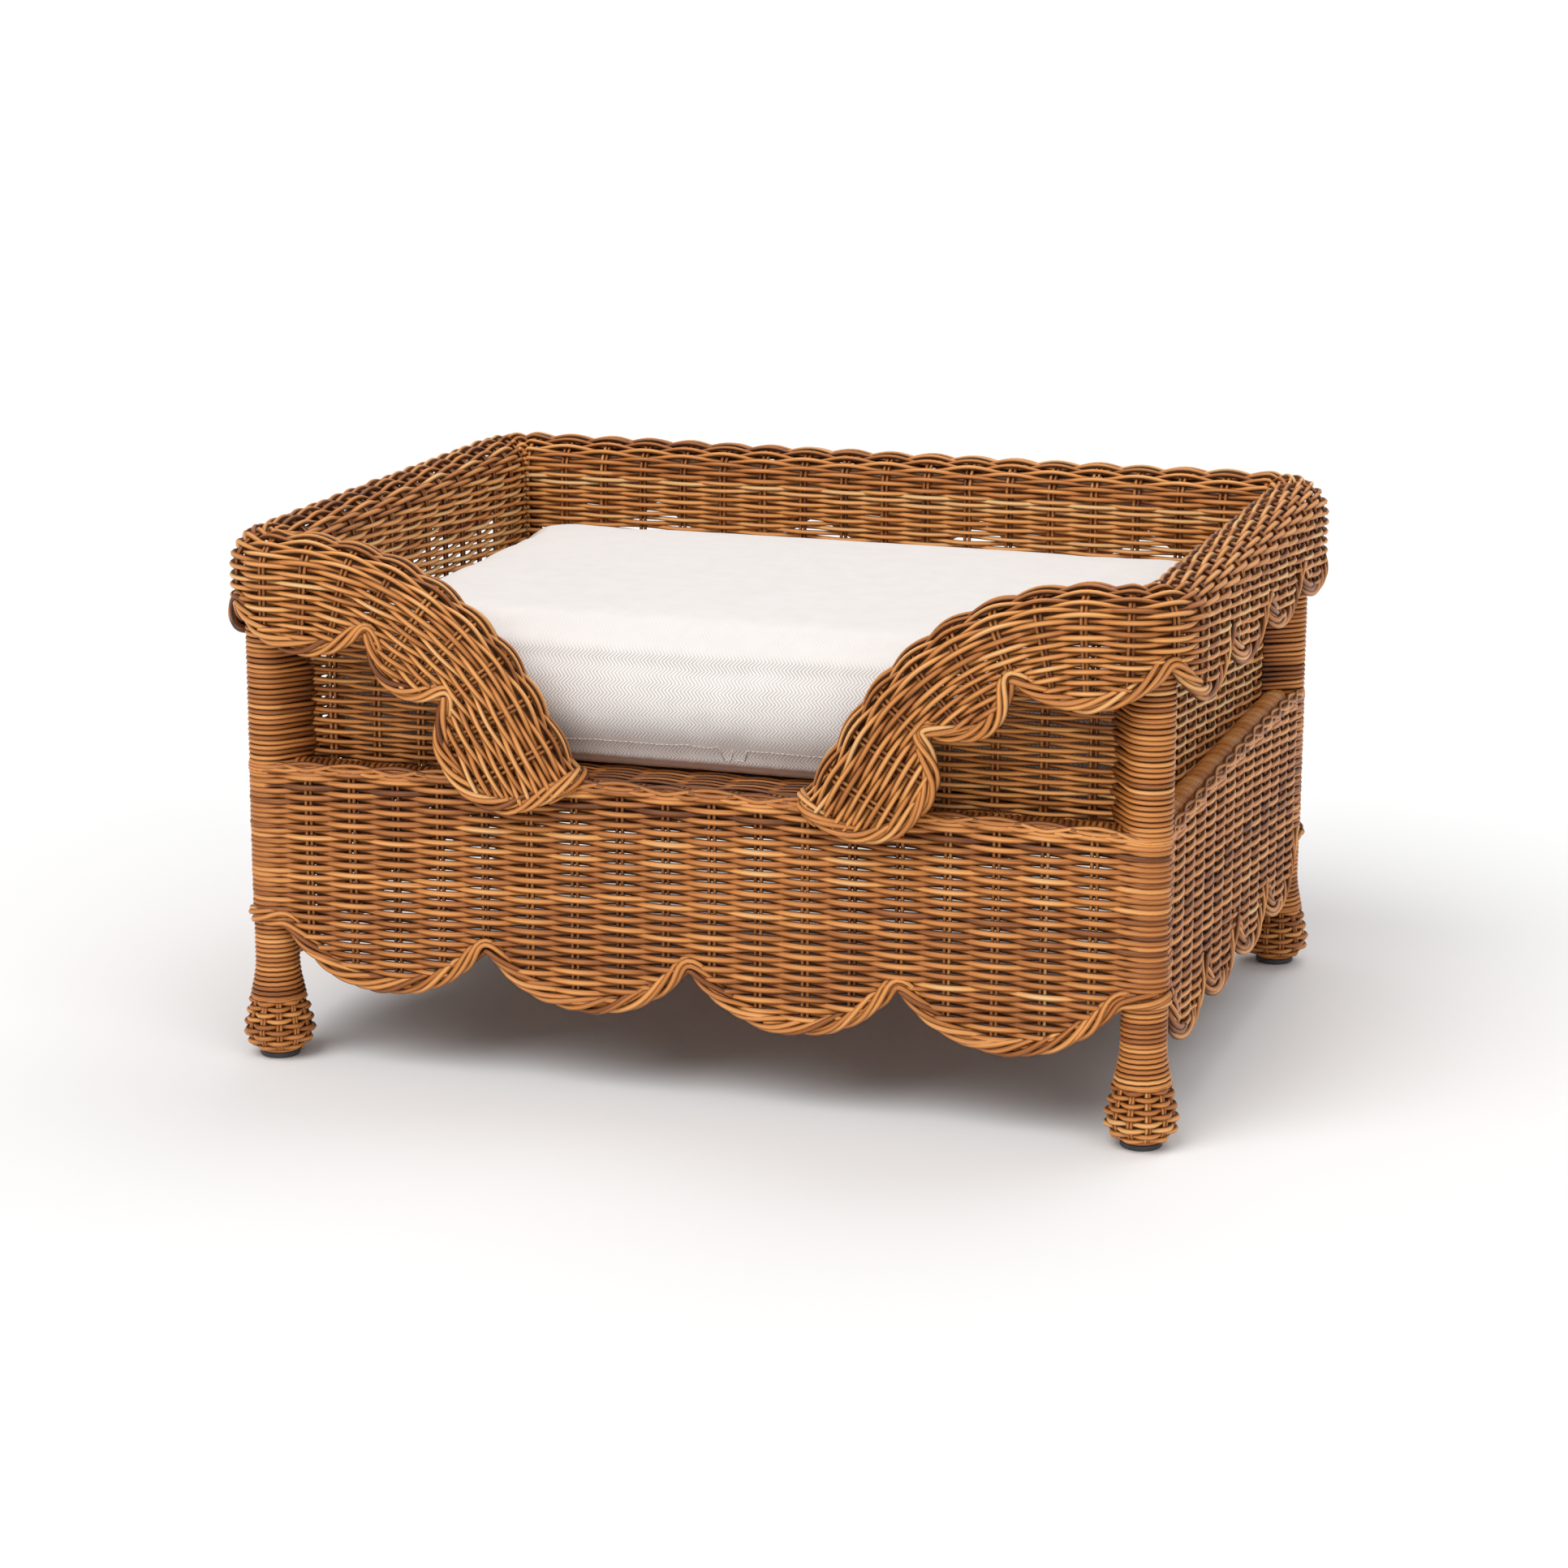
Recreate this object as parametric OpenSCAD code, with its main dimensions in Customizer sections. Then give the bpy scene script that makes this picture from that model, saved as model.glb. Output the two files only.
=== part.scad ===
/* [Overall size] */
// Width over the woven skirt, along X
bed_w = 700; // [660:1:760]
// Depth over the woven skirt, along Y
bed_d = 520; // [490:1:560]
// Height of the rolled rim above the floor
rim_h = 402; // [395:1:410]

/* [Posts and feet] */
// Diameter of each bare corner pole
post_d = 27; // [26:0.5:28]
// Distance of a pole's centre in from the skirt's outer faces
post_inset = 17; // [17:0.5:18]
// Thickness of the cane bound round a leg
leg_wrap_t = 3; // [2.5:0.5:3]
// Thickness of the weavers bound round a post above the seat
post_wrap_t = 3.4; // [3:0.1:3.5]
// Widest diameter of the woven bulb foot
foot_d = 56; // [50:1:60]
// Height of the top of the bulb foot
foot_h = 46; // [42:1:50]
// Diameter of the plastic glide
glide_d = 30; // [26:1:32]
// Thickness of the plastic glide
glide_t = 4; // [3:0.5:5]

/* [Seat frame] */
// Height of the seat rails' centre lines
seat_rail_h = 220; // [216:1:224]
// Diameter of a bare rail
rail_d = 20; // [18:1:20]
// Thickness of the peel wound round a seat rail
rail_wrap_t = 2; // [1.5:0.5:2]
// Diameter of the cross poles that carry the cushion
deck_pole_d = 16; // [14:1:18]
// Spacing of the cross poles
deck_pole_pitch = 110; // [105:1:115]
// Thickness of the woven mat on the cross poles
mat_t = 5; // [4:0.5:6]

/* [Skirt] */
// Thickness of the woven skirt
skirt_t = 8; // [7:0.5:8]
// Height of the skirt's top edge
skirt_top_h = 228; // [224:1:230]
// Height of the points between two scallops
skirt_cusp_h = 106; // [96:1:112]
// Lowest height of a scallop
skirt_low_h = 62; // [54:1:68]
// Number of scallops along the front and the back
skirt_scallops_x = 4; // [3:1:5]
// Number of scallops along each side
skirt_scallops_y = 4; // [3:1:5]
// Width of the braid that edges the scallops
braid_w = 9; // [7:1:11]
// How far the braid stands proud of each face
braid_proud = 1.5; // [1:0.5:2]

/* [Walls and collar] */
// Distance of the walls' inner faces in from the skirt's outer faces
wall_inset = 36; // [36:1:37]
// Thickness of the woven walls
wall_t = 9; // [8:0.5:10]
// Outer radius of the rolled rim
roll_r = 26; // [26:0.5:26.5]
// Thickness of the woven collar
collar_t = 7; // [6:0.5:7]
// Drop of the points between two collar scallops below the rim
collar_cusp_drop = 50; // [46:1:54]
// Drop of a collar scallop's lowest point below the rim
collar_low_drop = 84; // [80:1:88]
// Number of collar scallops along the back
collar_scallops_x = 5; // [4:1:6]
// Number of collar scallops along each side
collar_scallops_y = 4; // [3:1:5]

/* [Entry] */
// Radius of the ridge that falls from each front corner to the entry
ridge_r = 212; // [205:1:220]
// Distance of the ridge arc's centre from the middle of the bed
ridge_x = 302; // [296:1:306]
// Angle that the ridge turns through
ridge_turn = 60; // [56:1:64]
// Height at which the ridge ends
ridge_end_h = 233; // [232:1:240]
// Angle along the ridge of the first cusp below it
flap_cusp_1 = 23; // [21:1:25]
// Angle along the ridge of the second cusp below it
flap_cusp_2 = 49; // [47:1:51]

/* [Cushion] */
// Thickness of the box cushion
cushion_t = 98; // [80:1:102]
// Space between the cushion and the walls
cushion_gap = 8; // [6:1:12]
// Rounding of the cushion's upright corners
cushion_corner_r = 40; // [30:1:50]
// Rounding of the cushion's top and bottom edges
cushion_edge_r = 16; // [10:1:20]
// Thickness of the fabric cover
cover_t = 1.5; // [1:0.5:2]

/* [Zipper] */
// Length of the zipper in the cushion's back
zip_l = 500; // [400:10:520]
// Width of the zipper tape
zip_tape_w = 24; // [20:1:28]
// Thickness of the zipper tape
zip_tape_t = 1.2; // [1:0.1:1.4]
// Height of the zipper above the cushion's bottom
zip_h = 40; // [36:1:50]
// Length of the slider's pull
pull_l = 22; // [18:1:24]

/* [Hidden] */
$fn = 64;
fit = 0.1;
cope_gap = 0.02;
corners = [[-1, -1], [1, -1], [-1, 1], [1, 1]];

post_r = post_d / 2;
leg_wrap_r = post_r + leg_wrap_t;
post_wrap_r = post_r + post_wrap_t;
post_x = bed_w / 2 - post_inset;
post_y = bed_d / 2 - post_inset;

rail_r = rail_d / 2;
rail_wrap_r = rail_r + rail_wrap_t;
seat_rail_x = bed_w / 2 - skirt_t - rail_wrap_r - fit;
seat_rail_y = bed_d / 2 - skirt_t - rail_wrap_r - fit;
seat_top_h = seat_rail_h + rail_wrap_r;
deck_pole_h = seat_top_h - mat_t - deck_pole_d / 2;
deck_pole_places = [-1.5, -0.5, 0.5, 1.5];

inner_x = bed_w / 2 - wall_inset;
inner_y = bed_d / 2 - wall_inset;
wall_low_h = seat_top_h - 6;
roll_drop = roll_r;
rail_over = 7;
bore_gap = 0.05;
collar_out = 2 * roll_r;
top_rail_drop = 21;
top_rail_h = rim_h - top_rail_drop;
post_top_h = rim_h - roll_drop - 1;

ridge_z = rim_h - ridge_r;
ridge_line = (ridge_z + ridge_r * cos(ridge_turn) - ridge_end_h) / sin(ridge_turn);
corner_arc = PI / 2 * collar_out;
corner_lift = 4;
flap_hang = 24;
flap_cut_t = 30;
into_bend = 2;
collar_row_y = 2 * inner_y + corner_arc;
collar_row_x = 2 * inner_x + corner_arc;

skirt_row_x = 2 * (post_x - leg_wrap_r - 1);
skirt_row_y = 2 * (post_y - leg_wrap_r - 1);
skirt_clear = 0.5;

cushion_x = inner_x - cushion_gap;
cushion_y = inner_y - cushion_gap;
cushion_rest_gap = 0.4;
cushion_h = seat_top_h + cushion_rest_gap;
zip_z = cushion_h + zip_h;
zip_y = cushion_y - zip_tape_t;
slider_l = 12;
slider_w = 9;
slider_t = 2;
slider_x = -zip_l / 2 + 14;
slider_y = cushion_y + fit;
pull_t = 1;
pull_w = 6;
pull_play = 0.2;
bail_r = 1.5;
bail_head_t = 0.8;
bail_l = pull_t + 2 * pull_play + bail_head_t;

cane = "#b5763a";
cane_dark = "#9a5f2b";
cane_light = "#c98d4e";
cream = "#efe9de";

// ---------- shared shapes ----------

// An upright cylinder on the centre line of the corner pole on side sx, sy
module at_post(sx, sy, r, z0, z1) {
    translate([sx * post_x, sy * post_y, z0])
        cylinder(r = r, h = z1 - z0);
}

// A horizontal cylinder along X through y, z
module bar_x(r, l, y, z) {
    translate([-l / 2, y, z])
        rotate([0, 90, 0])
            cylinder(r = r, h = l);
}

// A horizontal cylinder along Y through x, z
module bar_y(r, l, x, z) {
    translate([x, l / 2, z])
        rotate([90, 0, 0])
            cylinder(r = r, h = l);
}

// Stands a flat outline upright facing the front, with its thickness towards the back
module upright_x(t, y) {
    translate([0, y + t, 0])
        rotate([90, 0, 0])
            linear_extrude(t)
                children();
}

// Stands a flat outline upright facing the side, with its thickness towards +X
module upright_y(t, x) {
    translate([x, 0, 0])
        rotate([90, 0, 90])
            linear_extrude(t)
                children();
}

// Radius of a circular arc with this chord and rise
function arc_radius(chord, rise) = (chord * chord / 4 + rise * rise) / (2 * rise);

// A panel with a straight top and a row of scallops below it, narrowed by inset along its edge
module scalloped(row, count, top, cusp, low, inset = 0) {
    chord = row / count;
    r = arc_radius(chord, cusp - low);
    translate([-row / 2, cusp + inset])
        square([row, top - cusp - inset]);
    intersection() {
        translate([-row / 2, low])
            square([row, cusp + inset - low]);
        for (i = [0 : count - 1])
            translate([(i + 0.5) * chord - row / 2, low + r])
                circle(r = r - inset, $fn = 128);
    }
}

// The braid alone: what lies between the full edge and the edge set in by its width
module scallop_band(row, count, cusp, low) {
    top = cusp + braid_w + 4;
    difference() {
        scalloped(row, count, top, cusp, low);
        scalloped(row, count, top + 1, cusp, low, braid_w);
    }
}

// ---------- posts and feet ----------

// A corner pole from its glide to the rolled rim, coped round the rails at its top
module corner_post(sx, sy) {
    color(cane_dark)
        difference() {
            at_post(sx, sy, post_r, glide_t, post_top_h);
            bar_y(rail_r + cope_gap, bed_d, sx * post_x, top_rail_h);
            bar_x(rail_r + cope_gap, bed_w, sy * post_y, top_rail_h);
            corner_screws(sx, sy, bore_gap);
        }
}

// Cane wound round a leg, flaring out down to the bulb foot
module leg_wrap(sx, sy) {
    flare_r = leg_wrap_r + 5;
    flare_h = foot_h + 26;
    color(cane)
        translate([sx * post_x, sy * post_y, 0])
            rotate_extrude()
                polygon([
                    [post_r, foot_h], [flare_r, foot_h], [leg_wrap_r + 1, flare_h - 8],
                    [leg_wrap_r, flare_h], [leg_wrap_r, skirt_cusp_h], [post_r, skirt_cusp_h]
                ]);
}

// Weavers wound round a post between the seat and the rolled rim
module post_wrap(sx, sy) {
    color(cane)
        difference() {
            at_post(sx, sy, post_wrap_r, seat_top_h + fit, post_top_h - 4);
            at_post(sx, sy, post_r, 0, rim_h);
        }
}

// The woven bulb foot: a round belly that narrows up to the leg's winding
module foot_weave(sx, sy) {
    belly_r = 17;
    belly_h = glide_t + belly_r;
    color(cane_light)
        translate([sx * post_x, sy * post_y, 0])
            rotate_extrude()
                difference() {
                    union() {
                        translate([foot_d / 2 - belly_r, belly_h])
                            circle(r = belly_r);
                        translate([0, glide_t])
                            square([foot_d / 2 - belly_r, belly_h - glide_t]);
                        polygon([
                            [0, belly_h], [foot_d / 2, belly_h],
                            [leg_wrap_r + 6, foot_h], [0, foot_h]
                        ]);
                    }
                    translate([-foot_d, 0])
                        square([foot_d + post_r, foot_h + 1]);
                }
}

// The plastic glide under a foot
module foot_glide(sx, sy) {
    lip = 1;
    color("#3a3a3c")
        translate([sx * post_x, sy * post_y, 0])
            rotate_extrude()
                polygon([
                    [0, 0], [glide_d / 2 - lip, 0], [glide_d / 2, lip],
                    [glide_d / 2, glide_t], [0, glide_t]
                ]);
}

// ---------- seat frame ----------

// What the front or back rail's ends are coped round
module long_rail_cutters(sy) {
    for (sx = [-1, 1])
        at_post(sx, sy, post_r + cope_gap, 0, rim_h);
}

// What a side rail's ends are coped round
module side_rail_cutters(sx) {
    for (sy = [-1, 1]) {
        at_post(sx, sy, post_r + cope_gap, 0, rim_h);
        bar_x(rail_wrap_r + cope_gap, bed_w, sy * seat_rail_y, seat_rail_h);
    }
}

// The front or back seat rail between two posts
module seat_rail_long(sy) {
    color(cane_dark)
        difference() {
            bar_x(rail_r, 2 * post_x, sy * seat_rail_y, seat_rail_h);
            long_rail_cutters(sy);
            for (sx = [-1, 1])
                corner_screws(sx, sy, bore_gap);
        }
}

// A side seat rail between the front and back rails
module seat_rail_side(sx) {
    color(cane_dark)
        difference() {
            bar_y(rail_r, 2 * seat_rail_y, sx * seat_rail_x, seat_rail_h);
            side_rail_cutters(sx);
            for (sy = [-1, 1])
                corner_screws(sx, sy, bore_gap);
        }
}

// Peel wound round the front or back seat rail
module seat_rail_wrap_long(sy) {
    color(cane_light)
        difference() {
            bar_x(rail_wrap_r, 2 * post_x, sy * seat_rail_y, seat_rail_h);
            long_rail_cutters(sy);
            bar_x(rail_r, bed_w, sy * seat_rail_y, seat_rail_h);
            for (sx = [-1, 1])
                corner_screws(sx, sy, bore_gap);
        }
}

// Peel wound round a side seat rail
module seat_rail_wrap_side(sx) {
    color(cane_light)
        difference() {
            bar_y(rail_wrap_r, 2 * seat_rail_y, sx * seat_rail_x, seat_rail_h);
            side_rail_cutters(sx);
            bar_y(rail_r, bed_d, sx * seat_rail_x, seat_rail_h);
        }
}

// One cross pole under the mat, from the front rail to the back rail
module deck_pole(place) {
    color(cane)
        difference() {
            bar_y(deck_pole_d / 2, 2 * seat_rail_y, place * deck_pole_pitch, deck_pole_h);
            for (sy = [-1, 1])
                bar_x(rail_wrap_r + cope_gap, bed_w, sy * seat_rail_y, seat_rail_h);
        }
}

// The woven mat that lies on the cross poles, between the walls
module seat_mat() {
    color(cane)
        translate([-inner_x + fit, -inner_y + fit, seat_top_h - mat_t])
            cube([2 * (inner_x - fit), 2 * (inner_y - fit), mat_t]);
}

// ---------- top frame inside the rolled rim ----------

// The back pole inside the rolled rim
module top_rail_long() {
    color(cane_dark)
        difference() {
            bar_x(rail_r, 2 * (post_x + rail_over), post_y, top_rail_h);
            for (sx = [-1, 1])
                corner_screws(sx, 1, bore_gap);
        }
}

// A side pole inside the rolled rim
module top_rail_side(sx) {
    color(cane_dark)
        difference() {
            translate([sx * post_x, post_y, top_rail_h])
                rotate([90, 0, 0])
                    cylinder(r = rail_r, h = 2 * post_y + rail_over);
            bar_x(rail_r + cope_gap, bed_w, post_y, top_rail_h);
            corner_screws(sx, -1, bore_gap);
        }
}

// The pole under the ridge: straight from the corner, one bend, straight down to the seat rail
module arm_rail_right() {
    bend_r = ridge_r - (rim_h - top_rail_h);
    straight_r = rail_r - fit;
    difference() {
        translate([post_x, -post_y, top_rail_h])
            rotate([0, -90, 0])
                cylinder(r = straight_r, h = post_x - ridge_x + into_bend);
        bar_y(rail_r + cope_gap, bed_d, post_x, top_rail_h);
    }
    translate([ridge_x, -post_y, ridge_z])
        rotate([90, 0, 0])
            rotate([0, 0, 90])
                rotate_extrude(angle = ridge_turn)
                    translate([bend_r, 0])
                        circle(r = rail_r);
    difference() {
        translate([ridge_x, -post_y, ridge_z])
            rotate([0, -ridge_turn, 0])
                translate([into_bend, 0, bend_r])
                    rotate([0, -90, 0])
                        cylinder(r = straight_r, h = ridge_line + 40);
        bar_x(rail_wrap_r + cope_gap, bed_w, -seat_rail_y, seat_rail_h);
        translate([0, -bed_d, 0])
            cube([bed_w, bed_d, skirt_top_h + skirt_clear]);
    }
}

// The bent pole under the ridge on side sx
module arm_rail(sx) {
    color(cane_dark)
        if (sx > 0)
            arm_rail_right();
        else
            mirror([1, 0, 0])
                arm_rail_right();
}

// ---------- skirt ----------

// Plan of the front skirt's strip with its quarter turns round the poles; y = 0 is its outer face
module skirt_plan() {
    difference() {
        union() {
            translate([-post_x, 0])
                square([2 * post_x, skirt_t]);
            for (sx = [-1, 1])
                translate([sx * post_x, post_inset])
                    intersection() {
                        circle(r = post_inset);
                        translate([sx > 0 ? 0 : -post_inset, -post_inset])
                            square(post_inset);
                    }
        }
        for (sx = [-1, 1])
            translate([sx * post_x, post_inset])
                circle(r = post_r + cope_gap);
    }
}

// Outline of a skirt: scallops between the legs, and a level foot at the poles
module skirt_outline(width, row, count) {
    scalloped(row, count, skirt_top_h, skirt_cusp_h, skirt_low_h, braid_w);
    translate([-width / 2, skirt_cusp_h + braid_w])
        square([width, skirt_top_h - skirt_cusp_h - braid_w]);
}

// The front skirt with its turns round the corner poles
module skirt_front() {
    intersection() {
        translate([0, -bed_d / 2, 0])
            linear_extrude(rim_h)
                skirt_plan();
        upright_x(post_inset, -bed_d / 2)
            skirt_outline(bed_w, skirt_row_x, skirt_scallops_x);
    }
}

// The front skirt, or its mirror image at the back
module skirt_long(sy) {
    color(cane)
        if (sy < 0)
            skirt_front();
        else
            mirror([0, 1, 0])
                skirt_front();
}

// A side skirt between two corner poles
module skirt_side(sx) {
    face_x = sx > 0 ? bed_w / 2 - skirt_t : -bed_w / 2;
    color(cane)
        difference() {
            upright_y(skirt_t, face_x)
                skirt_outline(2 * post_y, skirt_row_y, skirt_scallops_y);
            for (sy = [-1, 1])
                at_post(sx, sy, post_r + cope_gap, 0, rim_h);
        }
}

// The braid that edges all four skirts' scallops
module skirt_braid() {
    t = skirt_t + 2 * braid_proud;
    color(cane_light) {
        for (sy = [-1, 1])
            upright_x(t, sy * (bed_d / 2 - skirt_t / 2) - t / 2)
                scallop_band(skirt_row_x, skirt_scallops_x, skirt_cusp_h, skirt_low_h);
        for (sx = [-1, 1])
            upright_y(t, sx * (bed_w / 2 - skirt_t / 2) - t / 2)
                scallop_band(skirt_row_y, skirt_scallops_y, skirt_cusp_h, skirt_low_h);
    }
}

// ---------- walls ----------

// What the front or back wall is coped round
module long_wall_cutters(sy) {
    for (sx = [-1, 1])
        at_post(sx, sy, post_wrap_r + fit, wall_low_h - 1, rim_h);
    bar_x(rail_wrap_r + fit, bed_w, sy * seat_rail_y, seat_rail_h);
    for (sx = [-1, 1])
        bar_y(rail_wrap_r + fit, bed_d, sx * seat_rail_x, seat_rail_h);
    for (place = deck_pole_places)
        bar_y(deck_pole_d / 2 + fit, bed_d, place * deck_pole_pitch, deck_pole_h);
}

// The back wall, coped round the posts, rails and cross poles
module wall_back() {
    half = inner_x + wall_t;
    color(cane_dark)
        difference() {
            translate([-half, inner_y, wall_low_h])
                cube([2 * half, wall_t, rim_h - roll_drop - wall_low_h]);
            long_wall_cutters(1);
        }
}

// A side wall
module wall_side(sx) {
    face_x = sx > 0 ? inner_x : -inner_x - wall_t;
    color(cane_dark)
        difference() {
            translate([face_x, -inner_y, wall_low_h])
                cube([wall_t, 2 * inner_y, rim_h - roll_drop - wall_low_h]);
            bar_y(rail_wrap_r + fit, bed_d, sx * seat_rail_x, seat_rail_h);
            for (sy = [-1, 1])
                at_post(sx, sy, post_wrap_r + fit, wall_low_h - 1, rim_h);
        }
}

// Outline of all that lies deeper than drop below the right-hand ridge, down to height low
module under_ridge(drop, low) {
    r = ridge_r - drop;
    angle_step = 3;
    end = [ridge_x - r * sin(ridge_turn), ridge_z + r * cos(ridge_turn)];
    foot_x = end[0] - (end[1] - low) / tan(ridge_turn);
    polygon(concat(
        [[post_x + post_inset, low], [post_x + post_inset, rim_h - drop]],
        [for (a = [0 : angle_step : ridge_turn]) [ridge_x - r * sin(a), ridge_z + r * cos(a)]],
        [[foot_x, low]]
    ));
}

// The front wall on the right, from the corner down to the entry
module wall_front_right() {
    difference() {
        intersection() {
            upright_x(wall_t, -inner_y - wall_t)
                under_ridge(roll_drop, wall_low_h);
            translate([0, -bed_d, 0])
                cube([inner_x + wall_t, 2 * bed_d, rim_h]);
        }
        long_wall_cutters(-1);
    }
}

// The front wall on side sx
module wall_front(sx) {
    color(cane_dark)
        if (sx > 0)
            wall_front_right();
        else
            mirror([1, 0, 0])
                wall_front_right();
}

// ---------- collar ----------

// Section of the rolled rim and of the collar that hangs from it, down to drop below the rim:
// x is the way out from the wall's inner face, y is up from the rim
module collar_section(drop, inset = 0) {
    intersection() {
        translate([roll_r, -roll_r])
            difference() {
                circle(r = roll_r - inset);
                circle(r = roll_r - collar_t + inset);
            }
        translate([0, -roll_r])
            square([collar_out, roll_r]);
    }
    translate([collar_out - collar_t + inset, -drop])
        square([collar_t - 2 * inset, drop - roll_r]);
}

// Outline of a straight collar: everything above its scalloped edge, centred on the side
module collar_outline(row, count, shown) {
    intersection() {
        scalloped(row, count, rim_h + 1, rim_h - collar_cusp_drop, rim_h - collar_low_drop,
            braid_w);
        translate([-shown / 2, 0])
            square([shown, 2 * rim_h]);
    }
}

// Outline of the braid along a straight collar's scallops
module collar_band(row, count, shown) {
    intersection() {
        scallop_band(row, count, rim_h - collar_cusp_drop, rim_h - collar_low_drop);
        translate([-shown / 2, 0])
            square([shown, rim_h]);
    }
}

// The rim and collar round one corner, with the cusp notched out of its foot
module collar_corner(sx, sy) {
    notch = collar_low_drop - collar_cusp_drop;
    mirror([sx > 0 ? 0 : 1, 0, 0])
        mirror([0, sy > 0 ? 0 : 1, 0])
            translate([inner_x, inner_y, rim_h])
                difference() {
                    rotate_extrude(angle = 90)
                        collar_section(collar_low_drop - braid_w - corner_lift);
                    translate([0, 0, -collar_low_drop])
                        rotate([90, 0, 135])
                            linear_extrude(2 * collar_out, center = true)
                                polygon([[-notch, 0], [notch, 0], [0, notch]]);
                }
}

// The right-hand rim and collar
module collar_side_right() {
    intersection() {
        translate([inner_x, inner_y, rim_h])
            rotate([90, 0, 0])
                linear_extrude(2 * inner_y)
                    collar_section(collar_low_drop);
        upright_y(collar_out + 2, inner_x - 1)
            collar_outline(collar_row_y, collar_scallops_y, 2 * inner_y);
    }
}

// The rim and collar on side sx
module collar_side(sx) {
    color(cane)
        if (sx > 0)
            collar_side_right();
        else
            mirror([1, 0, 0])
                collar_side_right();
}

// The back rim and collar with both back corners
module collar_back() {
    color(cane) {
        intersection() {
            translate([-inner_x, inner_y, rim_h])
                rotate([90, 0, 90])
                    linear_extrude(2 * inner_x)
                        collar_section(collar_low_drop);
            upright_x(collar_out + 2, inner_y - 1)
                collar_outline(collar_row_x, collar_scallops_x, 2 * inner_x);
        }
        collar_corner(-1, 1);
        collar_corner(1, 1);
    }
}

// One scallop below the ridge, centred at angle a: chord is its width and low its depth
module flap_scallop(a, chord, rise, low, along, inset) {
    r = arc_radius(chord, rise);
    translate([ridge_x, ridge_z])
        rotate(a)
            translate([-along, ridge_r - low + r])
                circle(r = r - inset, $fn = 96);
}

// The three scallops of the right-hand flap, each shrunk by inset
module flap_scallops(inset) {
    first = flap_cusp_1 * PI / 180 * ridge_r + inner_x - ridge_x + corner_arc / 2;
    first_mid = (first / 2 - corner_arc / 2 - inner_x + ridge_x) / ridge_r * 180 / PI;
    second = 2 * (ridge_r - collar_cusp_drop) * sin((flap_cusp_2 - flap_cusp_1) / 2);
    last = (ridge_turn - flap_cusp_2) * PI / 180 * ridge_r + ridge_line;
    rise = collar_low_drop - collar_cusp_drop;
    flap_scallop(first_mid, first, rise, collar_low_drop, 0, inset);
    flap_scallop((flap_cusp_1 + flap_cusp_2) / 2, second, rise - 4, collar_low_drop - 4, 0, inset);
    flap_scallop(ridge_turn, last, last / 2 - 2, collar_low_drop - 2, ridge_line - last / 2, inset);
}

// What is cut away below the flap's scalloped edge, out to the corner
module flap_waste(inset) {
    difference() {
        under_ridge(collar_cusp_drop - inset, 0);
        flap_scallops(inset);
    }
}

// Outline of the braid along the flap's scallops
module flap_band() {
    intersection() {
        difference() {
            flap_waste(braid_w);
            flap_waste(0);
        }
        translate([0, ridge_end_h - flap_hang])
            square([inner_x, rim_h]);
    }
}

// The flap's whole section swept along the ridge, down to drop below it
module flap_sweep(drop) {
    translate([inner_x, -inner_y, rim_h])
        rotate([90, 0, -90])
            linear_extrude(inner_x - ridge_x)
                collar_section(drop);
    translate([ridge_x, -inner_y, ridge_z]) {
        rotate([90, 0, 0])
            rotate([0, 0, 90])
                rotate_extrude(angle = ridge_turn)
                    translate([ridge_r, 0])
                        mirror([1, -1])
                            collar_section(drop);
        rotate([0, -ridge_turn, 0])
            translate([into_bend, 0, ridge_r])
                rotate([90, 0, -90])
                    linear_extrude(ridge_line + into_bend)
                        collar_section(drop, fit);
    }
}

// The right-hand front collar: the rim round the corner and the flap down to the entry
module collar_front_right() {
    difference() {
        flap_sweep(collar_low_drop);
        upright_x(flap_cut_t, -inner_y - collar_out - flap_cut_t / 2)
            flap_waste(braid_w);
        bar_x(rail_wrap_r + fit, bed_w, -seat_rail_y, seat_rail_h);
        translate([0, -bed_d / 2 - fit, 0])
            cube([bed_w, skirt_t + 1, skirt_top_h + skirt_clear]);
    }
    collar_corner(1, -1);
}

// The front collar on side sx
module collar_front(sx) {
    color(cane)
        if (sx > 0)
            collar_front_right();
        else
            mirror([1, 0, 0])
                collar_front_right();
}

// The braid that edges every collar's scallops
module collar_braid() {
    t = collar_t + 2 * braid_proud;
    y = inner_y + collar_out - collar_t - braid_proud;
    x = inner_x + collar_out - collar_t - braid_proud;
    color(cane_light) {
        upright_x(t, y)
            collar_band(collar_row_x, collar_scallops_x, 2 * inner_x);
        for (side = [0, 1])
            mirror([side, 0, 0]) {
                upright_y(t, x)
                    collar_band(collar_row_y, collar_scallops_y, 2 * inner_y);
                upright_x(t, -y - t)
                    flap_band();
            }
    }
}

// ---------- screws ----------

// One wood screw pointing along +Z from its sunk head, grown by gap
module screw(gap) {
    length = 36;
    shank_r = 2;
    head_r = 3.6;
    head_h = 2.4;
    cylinder(r = head_r + gap, h = head_h);
    cylinder(r = shank_r + gap, h = length);
}

// The three screws of one corner: rail ends to post, and top rail to post, grown by gap for bores
module corner_screws(sx, sy, gap) {
    stagger = 4;
    sunk_in_post = 2;
    sunk_in_rail = 0.6;
    head_out = post_r - sunk_in_post;
    translate([sx * (post_x + head_out), sy * seat_rail_y, seat_rail_h + stagger])
        rotate([0, sx > 0 ? -90 : 90, 0])
            screw(gap);
    translate([sx * seat_rail_x, sy * (post_y + head_out), seat_rail_h - stagger])
        rotate([sy > 0 ? 90 : -90, 0, 0])
            screw(gap);
    translate([sx * post_x, sy * post_y, top_rail_h + rail_r - sunk_in_rail])
        rotate([180, 0, 0])
            screw(gap);
}

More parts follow.
